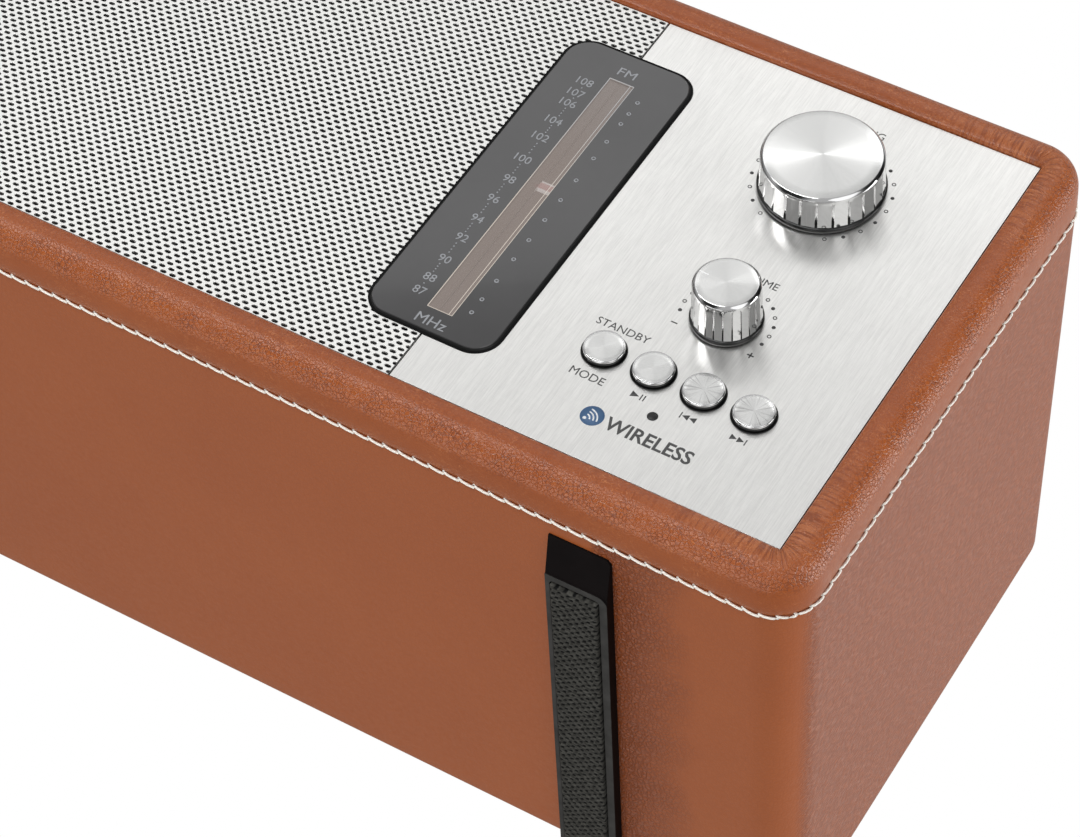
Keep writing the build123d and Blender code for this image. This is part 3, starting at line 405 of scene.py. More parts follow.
def fibreboard():
    """Raw fibreboard with short mixed fibres."""
    paint = Paint("fibreboard", (0.42, 0.33, 0.24), 0.85)
    here = paint.coords()
    fibres = paint.noise(here, scale=1400.0, detail=4.0, roughness=0.75, distortion=1.2)
    flecks = paint.noise(here, scale=350.0, detail=3.0)
    shade = paint.mix(paint.remap(fibres, 0.35, 0.65), (0.30, 0.215, 0.14), (0.50, 0.39, 0.28))
    shade = paint.mix(paint.remap(flecks, 0.6, 0.7, 0.0, 0.5), shade, (0.22, 0.15, 0.10))
    return paint.finish(Base_Color=shade, Normal=paint.bump(fibres, 0.08 * MM))


def clear_window(tint):
    """Milky acrylic over the light bar, with a painted glow, and clear enough to show the pointer."""
    paint = Paint("clear_acrylic", (0.01, 0.01, 0.01), 0.2, Alpha=0.5, IOR=1.49, Specular_IOR_Level=0.2)
    smear = paint.noise(paint.coords(), scale=60.0, detail=4.0)
    glow = paint.mix(paint.remap(smear, 0.3, 0.7, 0.0, 0.05), tint, scaled(tint, 0.7))
    paint.put(paint.shader, Emission_Strength=1.0)
    return paint.finish(Roughness=paint.remap(smear, 0.3, 0.7, 0.18, 0.24), Emission_Color=glow)


def smoked_lens():
    """Dark polished acrylic; its sides and the lower part of its bevel are matt black, painted shade in place
    of their dark reflections.
    """
    paint = Paint("smoked_acrylic", (0.046, 0.045, 0.046), 0.10, Coat_Weight=0.2)
    here = paint.coords()
    smear = paint.noise(here, scale=45.0, detail=4.0, roughness=0.6)
    shade = paint.mix(paint.remap(smear, 0.35, 0.7), (0.043, 0.042, 0.043), (0.050, 0.049, 0.050))
    # Painted shade: below about 0.6 mm off the panel the sides and bevel turn matt black.
    back = paint.part(here, "Y")
    side = paint.remap(back, corner.y - 0.00070, corner.y - 0.00060)
    gloss = paint.mix(side, (0.10, 0.10, 0.10), (0.95, 0.95, 0.95))
    shade = paint.mix(side, shade, (0.001, 0.001, 0.001))
    return paint.finish(Base_Color=shade, Roughness=gloss, Normal=paint.bump(smear, 0.001 * MM, 0.3))


def frosted(name, low_color, high_color, glow, low=0.0, high=0.1):
    """Frosted acrylic with a painted glow, its tint changing from one height to another, in metres."""
    paint = Paint(name, low_color, 0.5, Emission_Color=low_color, Emission_Strength=glow)
    here = paint.coords()
    rise = paint.remap(paint.part(here, "Z"), low, high)
    grain = paint.noise(here, scale=700.0, detail=2.0)
    shade = paint.mix(rise, low_color, high_color)
    shade = paint.mix(paint.remap(grain, 0.3, 0.7, 0.0, 0.08), shade, scaled(low_color, 0.7))
    dim = paint.mix(0.85, shade, (0.0, 0.0, 0.0))
    return paint.finish(Base_Color=dim, Emission_Color=shade, Normal=paint.bump(grain, 0.01 * MM, 0.4))


def pointer_finish():
    """Clear red-tinted plastic with a painted glow, and painted highlights along its upper and lower edges.
    """
    paint = Paint("pointer", (0.5, 0.3, 0.3), 0.3, Emission_Color=(0.5, 0.3, 0.3), Emission_Strength=0.8)
    middle = spot(0, pointer_v, 0).z
    up = paint.math("SUBTRACT", paint.part(paint.coords(), "Z"), middle)
    upper = paint.remap(up, 0.00085, 0.00105)
    lower = paint.remap(up, -0.00125, -0.00110, 1.0, 0.0)
    veins = paint.remap(paint.noise(paint.coords((300.0, 300.0, 2400.0)), detail=2.0), 0.45, 0.6, 0.0, 0.5)
    shade = paint.mix(veins, (0.62, 0.39, 0.38), (0.50, 0.22, 0.22))
    # Painted highlights along the upper and lower edges.
    shade = paint.mix(paint.math("MAXIMUM", upper, lower), shade, (1.0, 0.97, 0.97))
    return paint.finish(Base_Color=shade, Emission_Color=shade)


def glow_finish():
    """The pointer's faint red gleam on the light bar, strongest at its right end."""
    red = (0.45, 0.16, 0.17)
    paint = Paint("pointer_gleam", red, 0.6, Emission_Color=red, Emission_Strength=0.4)
    along = paint.add("SeparateXYZ", Vector=paint.coords(source="UV"))
    ripple = paint.noise(paint.coords(), scale=500.0)
    side = paint.times(along.outputs["Y"], paint.math("SUBTRACT", 1.0, along.outputs["Y"]))
    share = paint.times(paint.math("POWER", along.outputs["X"], 1.6), paint.times(side, 4.0))
    share = paint.times(share, paint.remap(ripple, 0.3, 0.7, 0.5, 0.8))
    return paint.finish(Alpha=share)


def foot_finish():
    """Black moulding, dark grey on its resting face and nearly black above it."""
    paint = Paint("foot_moulding", (0.005, 0.004, 0.004), 0.5, Specular_IOR_Level=0.03)
    here = paint.coords()
    sparks = paint.noise(here, scale=4000.0, detail=2.0)
    broad = paint.noise(here, scale=150.0, detail=4.0, roughness=0.6)
    resting_face = paint.remap(paint.part(here, "Z"), 0.00102, 0.00125, 1.0, 0.0)
    grey = paint.mix(paint.remap(broad, 0.35, 0.7), (0.040, 0.039, 0.037), (0.062, 0.060, 0.057))
    shade = paint.mix(resting_face, paint.mix(broad, (0.004, 0.003, 0.003), (0.008, 0.006, 0.006)), grey)
    normal = paint.bump(sparks, 0.015 * MM, 0.5, paint.soft_edges(0.3 * MM))
    return paint.finish(Base_Color=shade, Normal=normal)


dimple_across, dimple_along = 2.75, 1.35
lean_across, lean_along = 0.30, 0.06


def dimple(across, along):
    """How far a place, in millimetres, lies in one of the pad's staggered dimples: 1 in the middle."""
    first = cos(2 * pi * (across + lean_across * along) / dimple_across)
    wave = first * cos(pi * (along + lean_along * across) / dimple_along)
    return min(1.0, max(0.0, (wave - 0.15) / 0.6))


def dimpled_rubber():
    """Rubber with rows of dimples, painted shade in the hollows, and streaked lighter and darker on the ribs.
    """
    paint = Paint("foot_rubber", (0.05, 0.05, 0.05), 0.7, Specular_IOR_Level=0.1)
    here = paint.coords((1 / MM,) * 3)
    apart = paint.add("SeparateXYZ", Vector=here)
    x, y = apart.outputs["X"], apart.outputs["Y"]
    first = paint.times(paint.math("MULTIPLY_ADD", y, lean_across, x), 2 * pi / dimple_across)
    second = paint.times(paint.math("MULTIPLY_ADD", x, lean_along, y), pi / dimple_along)
    rough = paint.noise(here, scale=2.2, detail=3.0, roughness=0.6)
    wave = paint.times(paint.math("COSINE", first), paint.math("COSINE", second))
    wave = paint.math("MULTIPLY_ADD", paint.math("SUBTRACT", rough, 0.5), 0.9, wave)
    hollow = paint.remap(wave, 0.10, 0.62)
    cords = paint.noise(paint.coords((520.0, 1500.0, 300.0)), detail=2.0, distortion=0.6)
    ribs = paint.mix(paint.remap(cords, 0.38, 0.66), (0.026, 0.025, 0.022), (0.072, 0.070, 0.062))
    # Painted shade: nearly black in the hollows of the dimples.
    shade = paint.mix(hollow, ribs, (0.004, 0.004, 0.004))
    return paint.finish(Base_Color=shade, Normal=paint.bump(cords, 0.12 * MM))


def printed(name, color):
    """Screen printing ink, slightly uneven."""
    paint = Paint(name, color, 0.5)
    ink = paint.noise(paint.coords(), scale=3000.0, detail=2.0)
    shade = paint.mix(paint.remap(ink, 0.4, 0.7, 0.0, 0.35), color, scaled(color, 0.7))
    return paint.finish(Base_Color=shade, Normal=paint.bump(ink, 0.004 * MM, 0.4))


# Each leather's third colour serves its light scratches and the painted highlight on its folds.
rim_tan, rim_deep, rim_scratch_and_highlight = (0.345, 0.083, 0.014), (0.262, 0.053, 0.006), (0.66, 0.25, 0.09)
rim_leather = rim_finish("rim_leather", rim_tan, rim_deep, 0.75, rim_scratch_and_highlight)
side_leather = cover_finish("side_leather", (0.36, 0.092, 0.020), (0.29, 0.065, 0.012))
handle_tan, handle_deep, handle_scratch_and_highlight = (0.345, 0.086, 0.022), (0.27, 0.058, 0.013), (0.58, 0.24, 0.11)
handle_leather = rim_finish("handle_leather", handle_tan, handle_deep, 0.5, handle_scratch_and_highlight)
white_thread = thread()
grille_metal = brushed("satin_silver", (0.85, 0.85, 0.83), 0.42, along="x", contrast=0.03, metallic=0.85)
face_metal = spun("spun_face", (0.75, 0.75, 0.74), 0.24)
streak_painted_metal = spun("face_painted_streaks", (0.75, 0.75, 0.74), 0.24, streaks=0.34)
side_metal = polished("polished_side", (0.58, 0.58, 0.58), 0.08, 0.03)
black_gloss = moulded("black_gloss", (0.004, 0.004, 0.004), 0.16, relief=0.004)
black_board = moulded("painted_board", (0.006, 0.006, 0.006), 0.7, 0.8, 0.1, Specular_IOR_Level=0.2)
# Painted glow on the light bar; no lamp lights it.
light_bar = frosted("light_bar", (0.265, 0.222, 0.200), (0.285, 0.275, 0.270), 0.85, 0.105, 0.135)
# Painted highlights on the bar's edges, warmer towards its lower end.
bar_edge_highlight = frosted("light_bar_edge_highlight", (0.72, 0.64, 0.56), (0.50, 0.50, 0.51), 0.8, 0.085, 0.125)
lamp_dark = frosted("lamp_lens", (0.03, 0.03, 0.032), (0.03, 0.03, 0.032), 0.0)
pointer_gleam = glow_finish()
pad_rubber = dimpled_rubber()
dial_ink = printed("dial_ink", (0.30, 0.31, 0.33))
panel_ink = printed("panel_ink", (0.055, 0.055, 0.055))
mark_blue = printed("mark_blue", (0.055, 0.125, 0.25))
mark_white = printed("mark_white", (0.80, 0.82, 0.84))
index_paint = printed("index_paint", (0.92, 0.92, 0.92))

FINISHES = {
    "leather": side_leather,
    "board": fibreboard(),
    "rear_board": moulded("rear_board_black", (0.014, 0.014, 0.015), 0.6, 0.6, 0.12),
    "grille_metal": grille_metal,
    "cloth": woven("speaker_cloth", (0.006, 0.006, 0.006), 0.5, 0.12),
    "aluminium": brushed("brushed_aluminium", (0.88, 0.875, 0.855), 0.36, contrast=0.07),
    "seal": moulded("seal_rubber", (0.003, 0.003, 0.003), 0.55, 0.15, edge=0.1, Specular_IOR_Level=0.08),
    "smoked_acrylic": smoked_lens(),
    "clear_acrylic": clear_window((0.245, 0.205, 0.185)),
    "frosted_acrylic": light_bar,
    "steel": brushed("steel", (0.52, 0.52, 0.52), 0.35, along="x", contrast=0.08),
    "cord": woven("dial_cord_braid", (0.55, 0.52, 0.43), 0.4, 0.06),
    "moulded": moulded("black_moulding", (0.022, 0.022, 0.023), 0.45),
    "black_plastic": black_gloss,
    "circuit_board": moulded("circuit_board", (0.015, 0.10, 0.045), 0.35, 0.5, 0.02),
    "speaker_steel": moulded("speaker_paint", (0.02, 0.02, 0.02), 0.4),
    "cone_paper": moulded("cone_paper", (0.035, 0.034, 0.033), 0.9, 0.7, 0.15),
    "ferrite": moulded("ferrite", (0.05, 0.05, 0.054), 0.55, 0.4, 0.05),
    "cell_jacket": moulded("cell_jacket", (0.10, 0.10, 0.12), 0.3),
    "contact_brass": polished("plated_brass", (0.75, 0.58, 0.28), 0.2),
    "chrome": polished("chrome", (0.80, 0.80, 0.81), 0.06),
    "foot_moulding": foot_finish(),
    "foot_rubber": pad_rubber,
    "pointer_plastic": pointer_finish(),
    "spun_metal": face_metal,
}

for row in frame["record"]["subparts"]:
    kept = nodes[row["node"]]
    kept.data.materials.clear()
    kept.data.materials.append(FINISHES[row["material_slot"]])
nodes["indicator_lens"].data.materials[0] = lamp_dark
# The front baffle is black, as baffles often are, and its black also stands in for the shade in the gaps
# round the grille.
nodes["front_baffle"].data.materials[0] = black_board


# ---------------------------------------------------------------- mesh helpers
def put_in_scene(name, data):
    """A new object in the scene."""
    made = bpy.data.objects.new(name, data)
    bpy.context.scene.collection.objects.link(made)
    return made


class Shape:
    """Corners and faces that grow into one mesh."""

    def __init__(self):
        self.corners, self.faces, self.maps = [], [], []

    def grow(self, corners, faces, maps=None):
        """Adds a patch of its own corners and faces, and its places on the UV map."""
        first = len(self.corners)
        self.corners += [tuple(c) for c in corners]
        self.faces += [tuple(first + i for i in face) for face in faces]
        self.maps += maps or [(0.0, 0.0)] * len(corners)

    def quad(self, corners, maps=None):
        """Adds one face of four corners."""
        self.grow(corners, [(0, 1, 2, 3)], maps)

    def piece(self, name, finish, body, slot, replaced=(), sharp=None, place=None):
        """The finished object, riding on its body."""
        mesh = bpy.data.meshes.new(name)
        mesh.from_pydata(self.corners, [], self.faces)
        mesh.polygons.foreach_set("use_smooth", [True] * len(mesh.polygons))
        layer = mesh.uv_layers.new(name="lay")
        layer.data.foreach_set("uv", [x for loop in mesh.loops for x in self.maps[loop.vertex_index]])
        if sharp is not None:
            mesh.set_sharp_from_angle(angle=radians(sharp))
        mesh.materials.append(finish)
        made = put_in_scene(name, mesh)
        if place is not None:
            made.matrix_world = place
        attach(made, body)
        if replaced:
            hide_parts(*replaced)
        return made


def grid_faces(rows, columns, around_rows=False, around_columns=False):
    """Faces of a grid of corners laid row by row, closed on itself where asked."""
    faces = []
    for r in range(rows if around_rows else rows - 1):
        for c in range(columns if around_columns else columns - 1):
            right, up = (c + 1) % columns, (r + 1) % rows
            faces.append((r * columns + c, r * columns + right, up * columns + right, up * columns + c))
    return faces


def end_caps(count, sides):
    """The two end faces of a tube of so many corners, with so many sides."""
    return [tuple(range(sides - 1, -1, -1)), tuple(range(count - sides, count))]


def arc(middle, radius, start, end, steps):
    """Points along an arc, its angles in degrees."""
    turns = [radians(start + (end - start) * k / steps) for k in range(steps + 1)]
    return [(middle[0] + radius * cos(t), middle[1] + radius * sin(t)) for t in turns]


# ---------------------------------------------------------------- the outline of the body
reach_across, reach_up = half_width - corner_radius, half_height - corner_radius
corner_turn = corner_radius * pi / 2
outline_length = 4 * (reach_across + reach_up + corner_turn)


def edge_at(distance):
    """Outer point, inner point and outward direction of the rim, this far round from the right side's foot.

    The outside turns its corners on an arc and the inside, next to the panel, has sharp ones.
    The last value is how far the nearest corner's arc is.
    """
    distance %= outline_length
    for side in range(4):
        half, run = (half_width, 2 * reach_up) if side % 2 == 0 else (half_height, 2 * reach_across)
        if distance <= run + corner_turn:
            break
        distance -= run + corner_turn
    if distance <= run:
        outer, inner, out = (half, distance - run / 2), (half - rim_width, distance - run / 2), (1.0, 0.0)
        nearest = min(distance, run - distance)
    else:
        angle = (distance - run) / corner_radius
        out = (cos(angle), sin(angle))
        inside = (corner_radius - rim_width) / max(out)
        outer = (half - corner_radius + corner_radius * out[0], run / 2 + corner_radius * out[1])
        inner = (half - corner_radius + inside * out[0], run / 2 + inside * out[1])
        nearest = 0.0
    for _ in range(side):
        outer, inner, out = (-outer[1], outer[0]), (-inner[1], inner[0]), (-out[1], out[0])
    return Vector(outer), Vector(inner), Vector(out), nearest


def stations(fine, coarse, reach):
    """Distances round the rim: finely spaced within a reach of each corner and coarsely between them."""
    made, start = [], 0.0
    for side in range(4):
        run = 2 * (reach_up if side % 2 == 0 else reach_across)
        ends, middle = int(reach / fine), max(1, int((run - 2 * reach) / coarse))
        made += [start + reach * k / ends for k in range(ends)]
        made += [start + reach + (run - 2 * reach) * k / middle for k in range(middle)]
        made += [start + run - reach + reach * k / ends for k in range(ends)]
        bends = 2 * int(corner_turn / fine / 2)
        made += [start + run + corner_turn * k / bends for k in range(bends)]
        start += run + corner_turn
    return made


def fall(value, full, none):
    """1 up to full, 0 from none on, and smooth between."""
    share = min(1.0, max(0.0, (none - value) / (none - full)))
    return share * share * (3 - 2 * share)


def banding(profile, distances, relief=None):
    """A closed profile of (inset, height) swept round the body. relief lifts a point off the profile."""
    shape, lengths, pucker = Shape(), [0.0], []
    for (a, b), (c, d) in zip(profile, profile[1:]):
        lengths.append(lengths[-1] + sqrt((c - a) ** 2 + (d - b) ** 2))
    corners, maps = [], []
    for distance in distances:
        outer, inner, out, nearest = edge_at(distance)
        for number, ((inset, height), length) in enumerate(zip(profile, lengths)):
            lift = relief(distance, nearest, inset, height, length) if relief else 0.0
            before, after = profile[number - 1], profile[(number + 1) % len(profile)]
            slope = Vector((after[0] - before[0], after[1] - before[1])).normalized()
            inset -= lift * slope[1]
            height += lift * slope[0]
            at = outer.lerp(inner, inset / rim_width)
            corners.append(body_spot(at.x, at.y, height))
            maps.append((distance * MM, length * MM))
            pucker.append(fall(nearest, 2.0, 45.0) * 0.9 + 0.1)
    shape.grow(corners, grid_faces(len(distances), len(profile), True, True), maps)
    return shape, pucker


# ---------------------------------------------------------------- leather rim and cover
seam_dip = 0.55
rim_profile = [(seam_dip, -seam_depth), (0.3, -seam_depth + 0.35), (0.04, -seam_depth + 1.1)]
rim_profile += [(-0.1, -12.2), (-0.16, -10.0), (-0.1, -7.6)]
rim_profile += arc((edge_radius, rim_proud - edge_radius), edge_radius, 180, 90, 14)
rim_profile += [(8.2, rim_proud + 0.02), (9.0, rim_proud - 0.08), (9.7, rim_proud - 0.3)]
rim_profile += arc((rim_width - 1.6, rim_proud - 2.0), 1.6, 75, 0, 5)
rim_profile += [(rim_width, -0.9), (rim_width, -1.5), (10.8, -2.3), (3.5, -2.6), (3.3, -seam_depth - 0.1)]


def rim_relief(distance, nearest, inset, height, length):
    """Folds that gather the leather round a corner, and the pad's slow swell."""
    if height < -seam_depth + 1 or inset > rim_width - 0.2 or (inset > 3.2 and height < -2):
        return 0.0
    swell = 0.10 * noise.noise(Vector((distance / 38, length / 16, 3.0)))
    gather = fall(nearest, 1.0, 34.0) * fall(abs(inset - 8.4), 1.0, 6.5)
    folds = noise.noise(Vector((distance / 1.35, length / 7.0, 8.0)))
    small = noise.noise(Vector((distance / 0.8, length / 3.5, 21.0)))
    return swell + gather * (0.13 * folds + 0.05 * small)


rim, rim_pucker = banding(rim_profile, stations(0.42, 2.4, 34.0), rim_relief)
rim_piece = rim.piece("rim_padding", rim_leather, "cabinet", "leather", ["front_bolster"])
layer = rim_piece.data.attributes.new("pucker", "FLOAT", "POINT")
layer.data.foreach_set("value", rim_pucker)

leather_thickness, back_radius, flange = 1.2, 2.4, 10.05
cover_profile = [(seam_dip, -seam_depth), (0.3, -seam_depth - 0.35), (0.04, -seam_depth - 1.1)]
cover_step, cover_steps = 8.0, 19
cover_profile += [(0.0, -seam_depth - 2 - step * cover_step) for step in range(cover_steps)]
cover_profile += arc((back_radius, back_radius - body_depth), back_radius, 180, 270, 6)
cover_inside = leather_thickness - body_depth
cover_profile += [(flange - 0.6, -body_depth), (flange, 0.5 - body_depth), (flange, cover_inside)]
cover_profile += [(leather_thickness, cover_inside), (leather_thickness, -seam_depth - 0.1)]
cover, _ = banding(cover_profile, stations(1.5, 9.0, 6.0))
cover.piece("leather_cover", side_leather, "cabinet", "leather", ["leather_wrap"])

# ---------------------------------------------------------------- the seam's stitches
stitch_count = 230
stitch_pitch = outline_length / stitch_count
thread_radius = 0.36
STITCH = [(-0.09, -0.5), (-0.05, 0.0), (0.03, 0.30), (0.20, 0.46)]  # share of the pitch, height
STITCH += [(0.50, 0.52)] + [(1.0 - share, height) for share, height in reversed(STITCH)]


def tube(shape, path, radius, sides=8):
    """A round tube along a path of points, closed at both ends."""
    corners, maps, run = [], [], 0.0
    for number, point in enumerate(path):
        before, after = path[max(0, number - 1)], path[min(len(path) - 1, number + 1)]
        run += (point - before).length
        ahead = (after - before).normalized()
        side = ahead.orthogonal().normalized()
        lift = ahead.cross(side)
        for k in range(sides):
            turn = 2 * pi * k / sides
            corners.append(point + radius * (side * cos(turn) + lift * sin(turn)))
            maps.append((run, k / sides))
    faces = grid_faces(len(path), sides, False, True) + end_caps(len(corners), sides)
    shape.grow(corners, faces, maps)


stitches = Shape()
for number in range(stitch_count):
    jitter = 0.10 * noise.noise(Vector((number * 1.7, 5.0, 0.0)))
    path = []
    for share, lift in STITCH:
        outer, _, out, _ = edge_at((number + share) * stitch_pitch)
        slant = 0.72 * (0.5 - share) + jitter
        at = outer + out * (lift - seam_dip * 0.35)
        path.append(body_spot(at.x, at.y, -seam_depth + slant))
    tube(stitches, path, thread_radius * MM)
stitches.piece("seam_stitching", white_thread, "cabinet", "thread")

# ---------------------------------------------------------------- perforated grille
pitch_across, wanted_pitch_up = 3.03, 1.617
hole_half_length, hole_half_height, hole_end, hole_side = 0.975, 0.525, 0.55, 0.2
sheet_thickness, sheet_inset, lip = 0.5, 0.3, 1.1
sheet_height = panel_height - 2 * sheet_inset
rows = int(sheet_height / wanted_pitch_up)
pitch_up = sheet_height / rows
HOLE = [(hole_half_length, hole_side), (hole_end, hole_half_height)]
HOLE += [(-u, v) for u, v in reversed(HOLE)]
HOLE += [(-u, -v) for u, v in HOLE]


def inside_dial(u, v, inset):
    """True if a place lies more than this far inside the dial's outline."""
    across = max(0.0, abs(u - dial_u) - dial_width / 2 + dial_radius)
    up = max(0.0, abs(v - dial_v) - dial_height / 2 + dial_radius)
    return across < dial_radius and up < dial_radius and sqrt(across**2 + up**2) < dial_radius - inset


def grille_cell(u, v, left, right):
    """One brick of sheet with its hole. Its sides are cut straight at the sheet's edges."""
    low, high = v - pitch_up / 2, v + pitch_up / 2
    a, b = max(left, u - pitch_across / 2), min(right, u + pitch_across / 2)
    middle = min(max(u, a), b)
    rim_points = [(b, low), (b, high), (middle, high), (a, high), (a, low), (middle, low)]
    hole = [(min(max(u + du, a + 0.02), b - 0.02), v + dv) for du, dv in HOLE]
    outer = [spot(x, y, 0) for x, y in rim_points]
    top = [spot(x, y, -0.02) for x, y in hole]
    bottom = [spot(x, y, -sheet_thickness) for x, y in hole]
    h, d = len(outer), len(outer) + len(hole)
    faces = [(1, h, h + 7, 0), (2, h + 1, h, 1), (2, h + 2, h + 1), (3, h + 3, h + 2, 2)]
    faces += [(4, h + 4, h + 3, 3), (5, h + 5, h + 4, 4), (5, h + 6, h + 5), (0, h + 7, h + 6, 5)]
    faces += [(h + k, h + (k + 1) % 8, d + (k + 1) % 8, d + k) for k in range(8)]
    return outer + top + bottom, faces


grille = Shape()
left_end, right_end = grille_left + sheet_inset, -sheet_inset
low_end, high_end = sheet_inset, panel_height - sheet_inset
columns = int((right_end - left_end) / pitch_across) + 2
for row in range(rows):
    v = sheet_inset + (row + 0.5) * pitch_up
    for column in range(columns):
        u = right_end - (column + 0.5 * (row % 2)) * pitch_across
        if u > left_end - pitch_across / 2 + 0.2 and not inside_dial(u, v, 2.6):
            grille.grow(*grille_cell(u, v, left_end, right_end))
for a, b, c, d in (
    (left_end, low_end, left_end, high_end), (right_end, low_end, right_end, high_end),
    (left_end, low_end, right_end, low_end), (left_end, high_end, right_end, high_end),
):
    grille.quad([spot(a, b, 0), spot(c, d, 0), spot(c, d, -lip), spot(a, b, -lip)])
grille.piece("grille_sheet", grille_metal, "cabinet", "grille_metal", ["grille_mesh"], sharp=40)

# ---------------------------------------------------------------- knobs and buttons
flutes = 24
flute_turn, land_half, groove_depth = 360.0 / flutes, 6.2, 0.42
FLUTE_TURNS = (-flute_turn / 2, -6.7, -land_half, -land_half / 2, 0.0, land_half / 2, land_half, 6.7)


def turned(rings, sides, fluted=False):
    """A turned shape from (height, radius, flute share) rings, closed on the axis, its z along the axis."""
    corners = []
    turns = [360.0 * k / sides for k in range(sides)]
    if fluted:
        turns = [flute_turn * flute + turn for flute in range(flutes) for turn in FLUTE_TURNS]
    for height, radius, share in rings:
        for turn in turns:
            off = abs((turn + flute_turn / 2) % flute_turn - flute_turn / 2)
            on_land = off <= land_half + 0.1
            flat = radius * (cos(radians(land_half)) / cos(radians(off)) - 1) if on_land else 0.0
            groove = 0.0 if on_land else groove_depth * (off - land_half) / (flute_turn / 2 - land_half)
            reach = radius + share * (flat - groove)
            corners.append(MM * Vector((reach * cos(radians(turn)), reach * sin(radians(turn)), height)))
    shape, count = Shape(), len(turns)
    corners += [MM * Vector((0, 0, rings[0][0])), MM * Vector((0, 0, rings[-1][0]))]
    faces = grid_faces(len(rings), count, False, True)
    low, high, last = len(corners) - 2, len(corners) - 1, (len(rings) - 1) * count
    faces += [(low, (k + 1) % count, k) for k in range(count)]
    faces += [(high, last + k, last + (k + 1) % count) for k in range(count)]
    shape.grow(corners, faces)
    return shape


def knob(name, u, v, radius, height, ring_radius, body, node):
    """A fluted metal knob on its black base ring, with a spun face let into a polished edge."""
    place = face_frame(u, v)
    wide, collar = radius + 0.9, 1.7
    sides = [(collar, wide - 1.0, 0), (collar, wide - 0.2, 1), (collar + 0.25, wide, 1)]
    sides += [(height - 2.3, wide - 0.35, 1), (height - 1.9, wide - 0.38, 0.5), (height - 1.6, wide - 0.4, 0)]
    chamfer = ((0.80, 0.40), (0.74, 0.43), (0.14, 1.03), (0.06, 1.12), (0, 1.25), (0.03, 1.38))
    sides += [(height - below, wide - inset, 0) for below, inset in chamfer]
    turned(sides, 0, True).piece(f"{name}_cap", side_metal, body, "spun_metal", [node], 35, place)
    face = [(height - 0.4, wide - 1.3, 0), (height - 0.02, wide - 1.33, 0), (height + 0.02, wide - 1.45, 0)]
    face += [(height + 0.02 + 0.02 * k, (wide - 1.45) * (1 - k / 6), 0) for k in range(1, 6)]
    turned(face, 96).piece(f"{name}_face", face_metal, body, "spun_metal", (), 30, place)
    ring = [(0.25, ring_radius - 1.0, 0), (0.25, ring_radius - 0.1, 0), (0.4, ring_radius, 0)]
    ring += [(1.15, ring_radius, 0), (1.45, ring_radius - 0.12, 0), (collar + 0.02, wide - 0.1, 0)]
    ring += [(collar + 0.05, wide - 0.9, 0)]
    turned(ring, 96).piece(f"{name}_ring", black_gloss, body, "ring_plastic", (), 40, place)


knob("tuning", tuning_u, tuning_v, 16.6, 12.5, 18.0, "tuning_knob", "tuning_knob")
knob("volume", volume_u, volume_v, 8.75, 14.7, 10.1, "volume_knob", "volume_knob")

index = Shape()
index_ends, index_half, index_top, index_depth = (-8.25, -5.2), 0.17, 14.76, 0.3
corners = [
    MM * Vector((along, across, height)) for height in (index_top - index_depth, index_top)
    for across in (-index_half, index_half) for along in index_ends
]
index.grow(corners, [(4, 5, 7, 6), (0, 1, 5, 4), (2, 6, 7, 3), (0, 4, 6, 2), (1, 3, 7, 5), (0, 2, 3, 1)])
index.piece("volume_index", index_paint, "volume_knob", "spun_metal", (), 30, face_frame(volume_u, volume_v))

for name, u in zip(("standby", "play", "previous", "next"), buttons_u):
    place = face_frame(u, buttons_v)
    body = f"{name}_button"
    skirt = [(-3.0, 5.3, 0), (-3.0, 5.85, 0), (1.15, 5.85, 0), (1.3, 5.7, 0), (1.3, 5.0, 0)]
    turned(skirt, 64).piece(f"{name}_skirt", black_gloss, body, "ring_plastic", [body], 40, place)
    edge = [(0.9, 5.0, 0), (0.9, 5.6, 0), (1.0, 5.7, 0), (1.55, 5.7, 0)]
    edge += [(1.85, 5.58, 0), (2.0, 5.32, 0), (1.98, 5.15, 0)]
    turned(edge, 64).piece(f"{name}_edge", side_metal, body, "spun_metal", (), 50, place)
    face = [(1.7, 5.1, 0), (1.97, 5.12, 0), (2.0, 5.05, 0), (2.01, 4.0, 0), (2.02, 2.0, 0), (2.02, 0.5, 0)]
    finish = face_metal if name in ("standby", "play") else streak_painted_metal
    turned(face, 64).piece(f"{name}_face", finish, body, "spun_metal", (), 30, place)

# ---------------------------------------------------------------- printing
ink_height = 0.03


